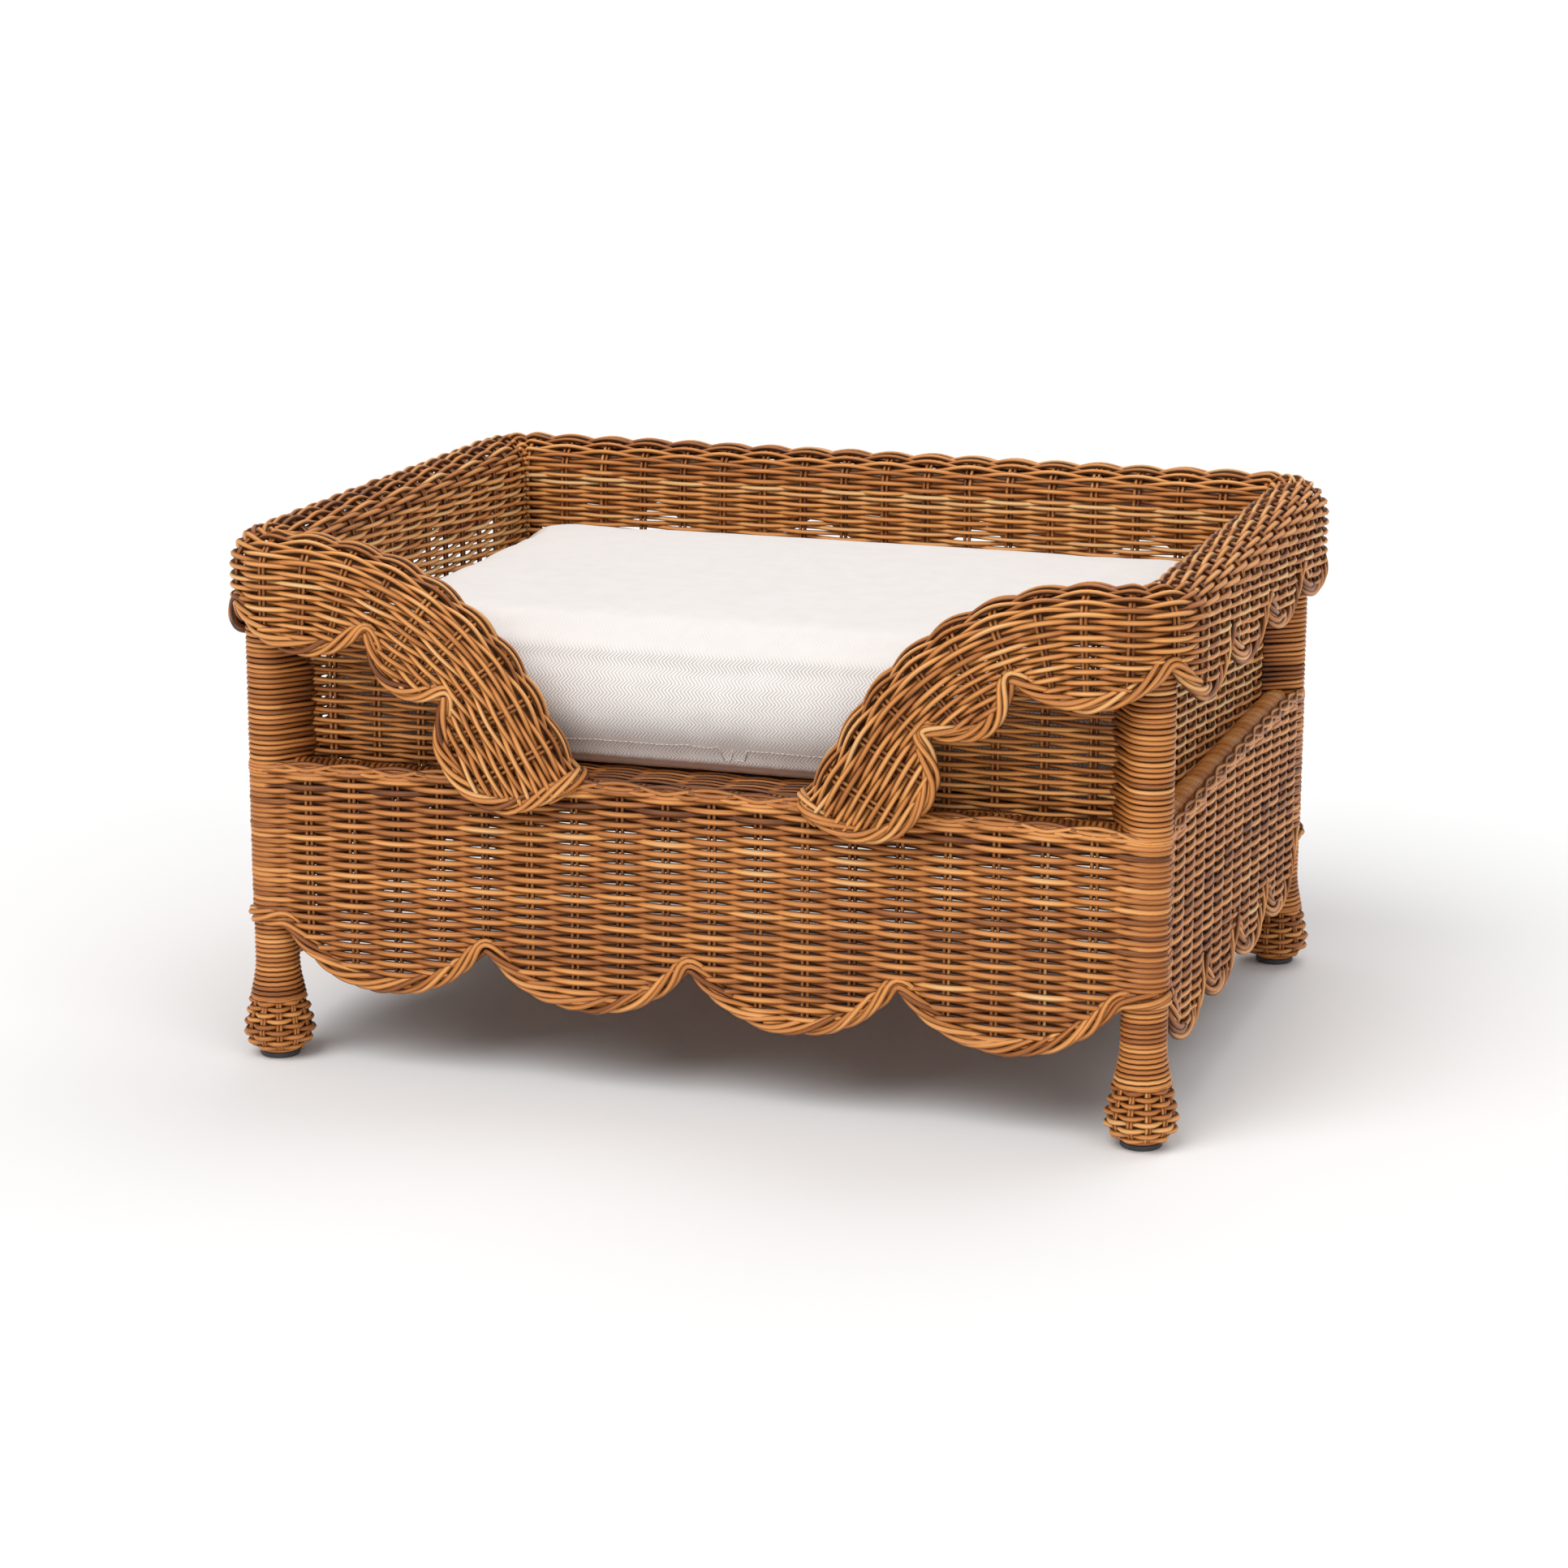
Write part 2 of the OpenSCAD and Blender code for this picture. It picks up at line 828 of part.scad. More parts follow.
// All twelve wood screws of the frame
module frame_screws() {
    color("silver")
        for (c = corners)
            corner_screws(c[0], c[1], 0);
}

// ---------- cushion ----------

// A box with rounded upright corners and rounded top and bottom edges, shrunk all round by inset
module rounded_pad(inset) {
    corner = cushion_corner_r - inset;
    edge = cushion_edge_r - inset;
    hx = cushion_x - cushion_corner_r;
    hy = cushion_y - cushion_corner_r;
    t = cushion_t - 2 * inset;
    translate([0, 0, cushion_h + inset]) {
        for (c = corners)
            translate([c[0] * hx, c[1] * hy, 0])
                pad_corner(corner, edge, t);
        for (s = [-1, 1]) {
            pad_edge_x(hx, s * hy, s, corner, edge, t);
            pad_edge_y(hy, s * hx, s, corner, edge, t);
        }
        translate([-hx, -hy, 0])
            cube([2 * hx, 2 * hy, t]);
    }
}

// Half section of the pad beyond its straight core: x is the way out, y is up
module pad_section(corner, edge, t) {
    translate([0, edge])
        square([corner, t - 2 * edge]);
    square([corner - edge, t]);
    for (h = [edge, t - edge])
        translate([corner - edge, h])
            intersection() {
                circle(r = edge);
                translate([0, -edge])
                    square([edge, 2 * edge]);
            }
}

// One rounded upright corner of the pad
module pad_corner(corner, edge, t) {
    rotate_extrude()
        pad_section(corner, edge, t);
}

// The pad's rim along X on side s
module pad_edge_x(hx, y, s, corner, edge, t) {
    translate([-s * hx, y, 0])
        rotate([90, 0, s * 90])
            linear_extrude(2 * hx)
                pad_section(corner, edge, t);
}

// The pad's rim along Y on side s
module pad_edge_y(hy, x, s, corner, edge, t) {
    translate([x, s * hy, 0])
        rotate([90, 0, s > 0 ? 0 : 180])
            linear_extrude(2 * hy)
                pad_section(corner, edge, t);
}

// The slot in the cushion's back that the zipper lies in
module zipper_slot(gap) {
    translate([-zip_l / 2 - gap, zip_y - gap, zip_z - zip_tape_w / 2 - gap])
        cube([zip_l + 2 * gap, zip_tape_t + 2, zip_tape_w + 2 * gap]);
}

// The foam block inside the cover
module cushion_foam() {
    color("#e6dcc2")
        rounded_pad(cover_t);
}

// The sewn fabric cover with the slot for its zipper
module cushion_cover() {
    color(cream)
        difference() {
            rounded_pad(0);
            rounded_pad(cover_t);
            zipper_slot(cope_gap);
        }
}

// The zipper's tape with the raised line of closed teeth
module zipper_tape() {
    tooth_t = 0.4;
    tooth_w = 5;
    color("#e4ddcf") {
        translate([-zip_l / 2, zip_y, zip_z - zip_tape_w / 2])
            cube([zip_l, zip_tape_t - tooth_t, zip_tape_w]);
        translate([-zip_l / 2, zip_y, zip_z - tooth_w / 2])
            cube([zip_l, zip_tape_t, tooth_w]);
    }
}

// The slider with the headed stud that its pull turns on
module zipper_slider() {
    color("silver") {
        translate([slider_x - slider_l / 2, slider_y, zip_z - slider_w / 2])
            cube([slider_l, slider_t, slider_w]);
        translate([slider_x, slider_y, zip_z])
            rotate([-90, 0, 0]) {
                cylinder(r = bail_r, h = slider_t + bail_l);
                translate([0, 0, slider_t + bail_l - bail_head_t])
                    cylinder(r = bail_r + 1, h = bail_head_t);
            }
    }
}

// The flat pull that hangs from the slider's stud
module zipper_pull() {
    color("silver")
        translate([slider_x, slider_y + slider_t + pull_play, zip_z])
            rotate([-90, 0, 0])
                linear_extrude(pull_t)
                    difference() {
                        union() {
                            circle(r = pull_w / 2);
                            translate([-pull_w / 2, 0])
                                square([pull_w, pull_l - pull_w]);
                            translate([0, pull_l - pull_w])
                                circle(r = pull_w / 2);
                        }
                        circle(r = bail_r + 0.05);
                    }
}

// ---------- nodes ----------

corner_post(-1, -1);  // post_front_left
corner_post(1, -1);  // post_front_right
corner_post(-1, 1);  // post_back_left
corner_post(1, 1);  // post_back_right
leg_wrap(-1, -1);  // leg_wrap_front_left
leg_wrap(1, -1);  // leg_wrap_front_right
leg_wrap(-1, 1);  // leg_wrap_back_left
leg_wrap(1, 1);  // leg_wrap_back_right
post_wrap(-1, -1);  // post_wrap_front_left
post_wrap(1, -1);  // post_wrap_front_right
post_wrap(-1, 1);  // post_wrap_back_left
post_wrap(1, 1);  // post_wrap_back_right
foot_weave(-1, -1);  // foot_weave_front_left
foot_weave(1, -1);  // foot_weave_front_right
foot_weave(-1, 1);  // foot_weave_back_left
foot_weave(1, 1);  // foot_weave_back_right
foot_glide(-1, -1);  // foot_glide_front_left
foot_glide(1, -1);  // foot_glide_front_right
foot_glide(-1, 1);  // foot_glide_back_left
foot_glide(1, 1);  // foot_glide_back_right
seat_rail_long(-1);  // seat_rail_front
seat_rail_long(1);  // seat_rail_back
seat_rail_side(-1);  // seat_rail_left
seat_rail_side(1);  // seat_rail_right
seat_rail_wrap_long(-1);  // seat_rail_wrap_front
seat_rail_wrap_long(1);  // seat_rail_wrap_back
seat_rail_wrap_side(-1);  // seat_rail_wrap_left
seat_rail_wrap_side(1);  // seat_rail_wrap_right
top_rail_long();  // top_rail_back
top_rail_side(-1);  // top_rail_left
top_rail_side(1);  // top_rail_right
arm_rail(-1);  // arm_rail_front_left
arm_rail(1);  // arm_rail_front_right
deck_pole(-1.5);  // deck_pole_1
deck_pole(-0.5);  // deck_pole_2
deck_pole(0.5);  // deck_pole_3
deck_pole(1.5);  // deck_pole_4
seat_mat();
skirt_long(-1);  // skirt_front
skirt_long(1);  // skirt_back
skirt_side(-1);  // skirt_left
skirt_side(1);  // skirt_right
wall_back();
wall_side(-1);  // wall_left
wall_side(1);  // wall_right
wall_front(-1);  // wall_front_left
wall_front(1);  // wall_front_right
collar_back();
collar_side(-1);  // collar_left
collar_side(1);  // collar_right
collar_front(-1);  // collar_front_left
collar_front(1);  // collar_front_right
skirt_braid();
collar_braid();
frame_screws();
cushion_foam();
cushion_cover();
zipper_tape();
zipper_slider();
zipper_pull();
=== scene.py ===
import math

import bmesh
import bpy
import numpy as np
from mathutils import Matrix, Vector
from mathutils.bvhtree import BVHTree


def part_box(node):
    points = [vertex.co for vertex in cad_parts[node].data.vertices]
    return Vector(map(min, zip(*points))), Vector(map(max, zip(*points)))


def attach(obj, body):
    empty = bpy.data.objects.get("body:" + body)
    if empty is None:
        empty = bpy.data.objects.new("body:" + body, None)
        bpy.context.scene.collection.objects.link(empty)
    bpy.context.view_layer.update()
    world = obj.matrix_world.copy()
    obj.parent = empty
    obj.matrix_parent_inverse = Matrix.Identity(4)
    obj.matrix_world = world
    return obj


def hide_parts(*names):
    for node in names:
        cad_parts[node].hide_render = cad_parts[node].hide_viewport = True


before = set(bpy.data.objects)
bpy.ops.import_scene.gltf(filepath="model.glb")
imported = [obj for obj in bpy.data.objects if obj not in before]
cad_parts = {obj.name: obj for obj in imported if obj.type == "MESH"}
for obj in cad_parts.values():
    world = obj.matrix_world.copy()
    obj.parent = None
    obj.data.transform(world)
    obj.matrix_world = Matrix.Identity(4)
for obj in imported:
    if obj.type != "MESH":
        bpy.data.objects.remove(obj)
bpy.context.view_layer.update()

MM = 0.001
RNG = np.random.default_rng(11)


# ---------- dimensions, in millimetres ----------

def low(node):
    """A CAD node's lowest corner."""
    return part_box(node)[0] / MM


def high(node):
    """A CAD node's highest corner."""
    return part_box(node)[1] / MM


def middle(node, axis):
    return (low(node)[axis] + high(node)[axis]) / 2


def half_size(node, axis):
    return (high(node)[axis] - low(node)[axis]) / 2


SKIRT_X = high("skirt_right").x
SKIRT_TOP = high("skirt_front").z
SKIRT_T = SKIRT_X - low("skirt_right").x
POST_X = middle("post_front_right", 0)
POST_Y = middle("post_back_right", 1)
POST_R = half_size("post_front_right", 0)
POST_INSET = SKIRT_X - POST_X
INNER_X = low("wall_right").x
INNER_Y = low("wall_back").y
RIM_H = high("collar_back").z
WALL_LOW = low("wall_back").z
SEAT_RAIL_R = half_size("seat_rail_wrap_front", 1)
SEAT_RAIL_H = high("seat_rail_wrap_front").z - SEAT_RAIL_R
SEAT_RAIL_Y = high("seat_rail_wrap_back").y - SEAT_RAIL_R
FOOT_TOP = high("foot_weave_front_right").z
GLIDE_TOP = low("foot_weave_front_right").z
FOOT_R = half_size("foot_weave_front_right", 0)
LEG_TOP = high("leg_wrap_front_right").z

# The rolled rim: its radius, the radius of the woven sheet's middle, and how far that is set out.
ROLL_R = 26
SECTION_R = 22.2
SECTION_OUT = 0.2
WALL_MID = ROLL_R + SECTION_OUT - SECTION_R
# Scallops: the skirt's as heights over the floor, the collar's as depths below the rim.
SKIRT_CUSP, SKIRT_LOW, SKIRT_SCALLOPS = 106, 62, 4
COLLAR_CUSP, COLLAR_LOW = 50, 84
BACK_SCALLOPS, SIDE_SCALLOPS = 5, 4
# The front ridges: where each starts to fall, its bend, and the straight run down to the entry.
RIDGE_X, RIDGE_R, RIDGE_TURN, RIDGE_LINE = 302, 212, math.radians(60), 72.7
FLAP_CUSPS = (math.radians(23), math.radians(49))
# The weave: rows PITCH apart, over and under pairs of stakes, out from the sheet's middle by a wave.
PITCH = 3.85
WEAVER_R = 1.98
WEAVER_W = 2.4
STAKE_R = 1.5
STAKE_GAP = 1.9
STAKE_STEP = 35
WAVE = 3.2
SKIRT_WAVE = 2.9
SHORTEST_RUN = 4        # samples in the shortest piece of a row
# Tones go from 0, dark, to 1, pale. Painted shade darkens a cane where it passes behind the stakes.
CANE_TONE, CANE_SPREAD = 0.52, 0.13
SKIRT_PAINTED_DEPTH_SHADE = 0.19
PAINTED_DEPTH_SHADE = 0.12
# How finely the tubes are made.
SAMPLE = 5.0
FINE_SAMPLE = 2.5
TUBE_SIDES = 6
END_TAPER = 0.72


# ---------- tubes ----------

def unit(rows):
    return rows / np.maximum(np.linalg.norm(rows, axis=-1, keepdims=True), 1e-9)


def length_along(path):
    """The length of a path from its first point to each of its points."""
    return np.concatenate([[0], np.cumsum(np.linalg.norm(np.diff(path, axis=0), axis=1))])


class Strands:
    """Tubes of cane that become one mesh, each with its own tone."""

    def __init__(self):
        self.points, self.faces, self.tones, self.fibres = [], [], [], []
        self.total = 0

    def add(self, path, normals, radius, tone, width=None, closed=False, taper=True):
        """One tube, radius thick along the normals and width across; fibre is a place on it."""
        path = np.asarray(path, float)
        count = len(path)
        normals = np.broadcast_to(np.asarray(normals, float), path.shape)
        step = np.roll(path, -1, 0) - np.roll(path, 1, 0) if closed else np.gradient(path, axis=0)
        along = unit(step)
        across = unit(np.cross(along, normals))
        up = np.cross(across, along)
        thick = np.array(np.broadcast_to(radius, count), float)
        wide = thick.copy() if width is None else np.array(np.broadcast_to(width, count), float)
        if taper and not closed:
            for end in (0, -1):
                thick[end] *= END_TAPER
                wide[end] *= END_TAPER
        turn = np.arange(TUBE_SIDES) * 2 * math.pi / TUBE_SIDES
        ring = (path[:, None]
                + (thick[:, None] * np.cos(turn))[..., None] * up[:, None]
                + (wide[:, None] * np.sin(turn))[..., None] * across[:, None])
        runs = count if closed else count - 1
        i = np.arange(runs)[:, None]
        j = np.arange(TUBE_SIDES)[None]
        nxt = (i + 1) % count
        side = (j + 1) % TUBE_SIDES
        quads = np.stack([i * TUBE_SIDES + j, i * TUBE_SIDES + side,
                          nxt * TUBE_SIDES + side, nxt * TUBE_SIDES + j], -1).reshape(-1, 4)
        if not closed:
            last = (count - 1) * TUBE_SIDES
            near_cap = np.array([[3, 2, 1, 0], [5, 4, 3, 0]])
            caps = np.concatenate([near_cap, last + np.array([[0, 1, 2, 3], [0, 3, 4, 5]])])
            quads = np.concatenate([quads, caps])
        fibre = np.empty((count, TUBE_SIDES, 3))
        fibre[..., 0] = length_along(path)[:, None] + RNG.uniform(0, 5000)
        fibre[..., 1] = np.cos(turn)
        fibre[..., 2] = np.sin(turn)
        self.points.append(ring.reshape(-1, 3))
        self.faces.append(quads + self.total)
        self.tones.append(np.repeat(np.broadcast_to(tone, count), TUBE_SIDES))
        self.fibres.append(fibre.reshape(-1, 3))
        self.total += count * TUBE_SIDES


def make_mesh(name, strands):
    """A smooth mesh of the strands, whose points are in millimetres and faces have four corners."""
    points, faces = np.concatenate(strands.points), np.concatenate(strands.faces)
    mesh = bpy.data.meshes.new(name)
    mesh.vertices.add(len(points))
    mesh.vertices.foreach_set("co", (points * MM).astype(np.float32).ravel())
    mesh.loops.add(faces.size)
    mesh.loops.foreach_set("vertex_index", faces.astype(np.int32).ravel())
    mesh.polygons.add(len(faces))
    mesh.polygons.foreach_set("loop_start", np.arange(0, faces.size, 4, dtype=np.int32))
    mesh.update(calc_edges=True)
    mesh.shade_smooth()
    return mesh


def link_new(name, data):
    obj = bpy.data.objects.new(name, data)
    bpy.context.scene.collection.objects.link(obj)
    return obj


def show(name, mesh, material, nodes, body="bed"):
    """A piece of the model, with the CAD nodes that it stands for."""
    obj = link_new(name, mesh)
    obj.data.materials.append(material)
    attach(obj, body)
    if nodes:
        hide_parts(*nodes)
    return obj


def woven(name, strands, node):
    """A piece of cane strands, which pass their tone and fibre on to the material."""
    mesh = make_mesh(name, strands)
    tone = mesh.attributes.new("tone", "FLOAT", "POINT")
    tone.data.foreach_set("value", np.concatenate(strands.tones).astype(np.float32))
    fibre = mesh.attributes.new("fibre", "FLOAT_VECTOR", "POINT")
    fibre.data.foreach_set("vector", np.concatenate(strands.fibres).astype(np.float32).ravel())
    show(name, mesh, cane, [node])


# ---------- materials ----------

class Nodes:
    """A short way to write a node tree."""

    def __init__(self, name):
        self.material = bpy.data.materials.new(name)
        self.material.use_nodes = True
        self.tree = self.material.node_tree
        self.shader = self.tree.nodes["Principled BSDF"]

    def add(self, kind, inputs=None, **fields):
        node = self.tree.nodes.new(kind)
        for key, value in fields.items():
            setattr(node, key, value)
        for key, value in (inputs or {}).items():
            self.put(node.inputs[key], value)
        return node

    def put(self, socket, value):
        """Links a socket to the value, or sets the value on it."""
        if isinstance(value, bpy.types.NodeSocket):
            self.tree.links.new(value, socket)
        else:
            socket.default_value = value

    def math(self, operation, *values):
        node = self.add("ShaderNodeMath", operation=operation)
        for socket, value in zip(node.inputs, values):
            self.put(socket, value)
        return node.outputs[0]

    def plus(self, value, *parts):
        """The value, plus each part times its weight."""
        for part, weight in parts:
            value = self.math("ADD", value, self.math("MULTIPLY", part, weight))
        return value

    def above(self, value, level=0.5):
        return self.math("SUBTRACT", value, level)

    def ramp(self, fac, stops):
        node = self.add("ShaderNodeValToRGB", {"Fac": fac})
        while len(node.color_ramp.elements) < len(stops):
            node.color_ramp.elements.new(0.5)
        for element, (place, colour) in zip(node.color_ramp.elements, stops):
            element.position = place
            element.color = (*colour, 1)
        return node.outputs["Color"]

    def noise(self, vector, scale, detail=3, roughness=0.5):
        values = {"Vector": vector, "Scale": scale, "Detail": detail, "Roughness": roughness}
        return self.add("ShaderNodeTexNoise", values).outputs["Fac"]

    def scaled(self, vector, scale):
        node = self.add("ShaderNodeVectorMath", operation="MULTIPLY")
        self.put(node.inputs[0], vector)
        node.inputs[1].default_value = scale
        return node.outputs[0]

    def mix(self, fac, a, b, blend="MIX"):
        node = self.add("ShaderNodeMix", data_type="RGBA", blend_type=blend)
        self.put(node.inputs["Factor"], fac)
        self.put(node.inputs["A"], a)
        self.put(node.inputs["B"], b)
        return node.outputs["Result"]

    def bump(self, height, strength, distance):
        values = {"Height": height, "Strength": strength, "Distance": distance}
        node = self.add("ShaderNodeBump", values)
        self.put(self.shader.inputs["Normal"], node.outputs[0])

    def finish(self, **values):
        """Sets the shader's sockets, each named in lower case with _ for a space."""
        for key, value in values.items():
            self.put(self.shader.inputs[key.replace("_", " ").title().replace("Ior", "IOR")], value)
        return self.material


def object_place(n):
    return n.add("ShaderNodeTexCoord").outputs["Object"]


CANE_STOPS = [(0.0, (0.17, 0.050, 0.010)), (0.25, (0.39, 0.125, 0.025)), (0.5, (0.67, 0.250, 0.058)),
              (0.75, (0.91, 0.405, 0.115)), (1.0, (0.97, 0.61, 0.27))]
# Painted shade: the sides of each cane, where it meets its neighbours, are darkened.
PAINTED_SHADE_STOPS = [(0.0, (0.02, 0.014, 0.01)), (0.5, (0.42, 0.375, 0.335)), (0.94, (1, 1, 1))]
POLE_STOPS = [(0.3, (0.12, 0.05, 0.018)), (0.5, (0.26, 0.115, 0.04)), (0.72, (0.42, 0.21, 0.08))]


def cane_material():
    """Cane: its tone goes with the strand, with long fibres and patches, and painted shade between
    canes.
    """
    n = Nodes("cane")
    tone = n.add("ShaderNodeAttribute", attribute_name="tone").outputs["Fac"]
    fibre = n.add("ShaderNodeAttribute", attribute_name="fibre").outputs["Vector"]
    streak = n.noise(n.scaled(fibre, (0.02, 2.2, 2.2)), 1.0, 4, 0.65)
    patch = n.noise(n.scaled(fibre, (0.006, 0.3, 0.3)), 1.0, 2)
    blotch = n.noise(object_place(n), 9.0, 2)
    value = n.plus(tone, (n.above(streak), 0.75), (n.above(patch), 0.4), (n.above(blotch), 0.3))
    colour = n.ramp(value, CANE_STOPS)
    # Painted shade: darker on the sides of each cane, towards its neighbours.
    outward = n.add("ShaderNodeSeparateXYZ", {"Vector": fibre}).outputs["Y"]
    painted_crevice_shade = n.ramp(n.math("ABSOLUTE", outward), PAINTED_SHADE_STOPS)
    colour = n.mix(1.0, colour, painted_crevice_shade, "MULTIPLY")
    fine = n.noise(n.scaled(fibre, (0.05, 5.0, 5.0)), 1.0, 3, 0.7)
    n.bump(fine, 0.35, 0.0004)
    rough = n.plus(0.33, (streak, 0.25))
    return n.finish(base_color=colour, roughness=rough, specular_ior_level=0.3, coat_weight=0.14,
                    coat_roughness=0.22)


def pole_material():
    """Bare rattan poles: brown, with fine grain and patches."""
    n = Nodes("rattan_pole_skin")
    place = object_place(n)
    grain = n.noise(n.scaled(place, (60, 60, 60)), 4.0, 5, 0.7)
    patch = n.noise(place, 14.0, 2)
    colour = n.ramp(n.plus(0.0, (grain, 0.6), (patch, 0.4)), POLE_STOPS)
    n.bump(grain, 0.3, 0.0005)
    return n.finish(base_color=colour, roughness=0.5)


cane = cane_material()
pole = pole_material()


# ---------- weaving ----------

def tone_runs(length_at, lift=0.0):
    """A tone for each point of a row: a new cane joins in every half metre or so."""
    tones = np.empty(len(length_at))
    start = length_at[0] - RNG.uniform(0, 700)
    while start < length_at[-1]:
        end = start + RNG.uniform(350, 1300)
        inside = (length_at >= start) & (length_at <= end)
        tones[inside] = np.clip(RNG.normal(CANE_TONE + lift, CANE_SPREAD), 0.02, 0.98)
        start = end
    return tones


def stake_tone(tone=0.36, spread=0.15):
    return np.clip(RNG.normal(tone, spread), 0, 1)


def sway(s, size):
    """A slow random drift along a row."""
    a, b, c = RNG.uniform(0, 2 * math.pi, 3)
    return size * (np.sin(s / 19 + a) + np.sin(s / 43 + b) + np.sin(s / 97 + c)) / 2


def stake_pairs(first, last, step, start=0.0):
    """Places of the stakes of each pair from the first number to the last."""
    for k in range(first, last + 1):
        for gap in (-STAKE_GAP, STAKE_GAP):
            yield start + k * step + gap


def smooth_step(x):
    x = np.clip(x, 0, 1)
    return x * x * (3 - 2 * x)


def arc_depth(u, half, rise, depth):
    """Depth of a circular scallop's edge at u from its middle."""
    r = (half * half + rise * rise) / (2 * rise)
    return depth - r + np.sqrt(np.maximum(r * r - u * u, 0))


def runs_of(mask):
    """Start and end index of each stretch where mask is true."""
    edges = np.flatnonzero(np.diff(np.concatenate([[0], mask.astype(int), [0]])))
    return list(zip(edges[::2], edges[1::2] - 1))


def samples(start, stop, step=SAMPLE):
    """Even places from start to stop, about step apart."""
    return np.linspace(start, stop, max(3, int(round(abs(stop - start) / step)) + 1))


# ---------- skirt ----------

SKIRT_SIDES = {
    "front": ((1, 0, 0), (0, -1, 0), POST_X, POST_Y, True),
    "back": ((1, 0, 0), (0, 1, 0), POST_X, POST_Y, True),
    "left": ((0, 1, 0), (-1, 0, 0), POST_Y, POST_X, False),
    "right": ((0, 1, 0), (1, 0, 0), POST_Y, POST_X, False),
}
CORNER_R = POST_R + WEAVER_R + 0.1
CORNER_ARC = CORNER_R * math.pi / 2
CORNER_LAP = 6
MID_OUT = POST_INSET - SKIRT_T / 2


def skirt_at(side, s, offset):
    """Points on the skirt's middle surface at s from the side's middle, moved outward by offset."""
    u_dir, w_dir, half_u, half_w, _ = SKIRT_SIDES[side]
    u_dir, w_dir = np.array(u_dir, float), np.array(w_dir, float)
    from_post = half_u - np.abs(s)
    turn = np.clip(-from_post / CORNER_R, 0, math.pi / 2)
    base = MID_OUT + (CORNER_R - MID_OUT) * (1 - smooth_step(from_post / 18))
    reach = base + offset
    sign = np.sign(s)
    u = np.where(turn > 0, sign * (half_u + reach * np.sin(turn)), s)
    w = half_w + reach * np.cos(turn)
    points = u[:, None] * u_dir + w[:, None] * w_dir
    normals = (sign * np.sin(turn))[:, None] * u_dir + np.cos(turn)[:, None] * w_dir
    return points, normals


def skirt_edge(side, s):
    """Height of the scalloped edge at s."""
    half_row = SKIRT_SIDES[side][2] - POST_R - 4
    chord = 2 * half_row / SKIRT_SCALLOPS
    local = np.mod(np.clip(s, -half_row, half_row - 1e-6) + half_row, chord) - chord / 2
    edge = SKIRT_LOW - arc_depth(local, chord / 2, SKIRT_CUSP - SKIRT_LOW, 0)
    return np.where(np.abs(s) > half_row, SKIRT_CUSP, edge)


def skirt_bow(s, z, half):
    """The skirt's upper rows rise a little between the posts."""
    return 2.5 * (2 * np.cos(math.pi * np.clip(s / half, -1, 1) / 2) - 1) * (z - SKIRT_LOW) / 160


def weave_skirt(side):
    strands = Strands()
    _, _, half_u, _, corners = SKIRT_SIDES[side]
    reach = half_u + (CORNER_ARC if corners else CORNER_LAP)
    stakes = int(round(2 * half_u / STAKE_STEP))
    step = 2 * half_u / stakes
    rows = int((SKIRT_TOP - 2 - SKIRT_LOW) / PITCH)
    for row in range(rows):
        z = SKIRT_TOP - 2 - PITCH * row
        s = samples(-reach, reach)
        shown = z > skirt_edge(side, s) + 3
        for a, b in runs_of(shown):
            if b - a < SHORTEST_RUN:
                continue
            part = s[a:b + 1]
            calm = smooth_step((half_u - np.abs(part) - 2) / 14)
            wave = calm * np.cos(math.pi * (part + half_u) / step + math.pi * row)
            points, normals = skirt_at(side, part, SKIRT_WAVE * wave + sway(part, 0.25))
            points[:, 2] = z + sway(part, 0.25) + skirt_bow(part, z, half_u)
            # Painted shade: darker where the cane passes behind the stakes.
            tone = tone_runs(part, 0.04) - SKIRT_PAINTED_DEPTH_SHADE * (1 - wave)
            strands.add(points, normals, WEAVER_R * RNG.uniform(0.92, 1.0), tone,
                        width=WEAVER_W * RNG.uniform(0.95, 1.06))
    for s in stake_pairs(1, stakes - 1, step, -half_u):
        z0 = float(skirt_edge(side, np.array([s]))[0]) + 2
        z = samples(z0, SKIRT_TOP + 1, 10)
        points, normals = skirt_at(side, s + sway(z, 0.3), 0 * z)
        points[:, 2] = z + skirt_bow(s, z, half_u)
        strands.add(points, normals, STAKE_R, stake_tone())
    skirt_border(strands, side, reach, half_u, step)
    return strands


# Canes of the skirt's top border: each one's shift in stake steps, its arch and its height.
BORDER_CANES = ((0, 4.2, -0.5), (1, 4.2, -0.5), (0.5, 3.0, -1.6), (1.5, 3.0, -1.6), (0, 0.5, 0.9),
                (1, 1.5, -3.2))


def skirt_border(strands, side, reach, half_u, step):
    """The top border: canes that arch over the stakes from one side of the weave to the other."""
    s = samples(-reach, reach, 3)
    calm = smooth_step((half_u - np.abs(s)) / 14)
    for shift, rise, lift in BORDER_CANES:
        phase = math.pi * (s + half_u) / (2 * step) + shift * math.pi / 2
        offset = calm * 0.72 * WAVE * np.cos(2 * phase)
        points, normals = skirt_at(side, s, offset)
        points[:, 2] = SKIRT_TOP + lift + calm * rise * np.abs(np.sin(phase)) ** 1.3 \
            + skirt_bow(s, SKIRT_TOP, half_u) + sway(s, 0.3)
        strands.add(points, normals, WEAVER_R, tone_runs(s))


def rope(strands, path, normals, count, wide, deep, twist, radius):
    """Canes twisted round each other along a path, one full turn in each length of twist."""
    along = unit(np.gradient(path, axis=0))
    across = unit(np.cross(along, normals))
    length = length_along(path)
    for k in range(count):
        phase = 2 * math.pi * (length / twist + k / count) + sway(length, 0.35)
        points = path + across * (wide * np.cos(phase) + sway(length, 0.5))[:, None] \
            + normals * (deep * np.sin(phase))[:, None]
        strands.add(points, normals, radius * RNG.uniform(0.93, 1.07), tone_runs(length))


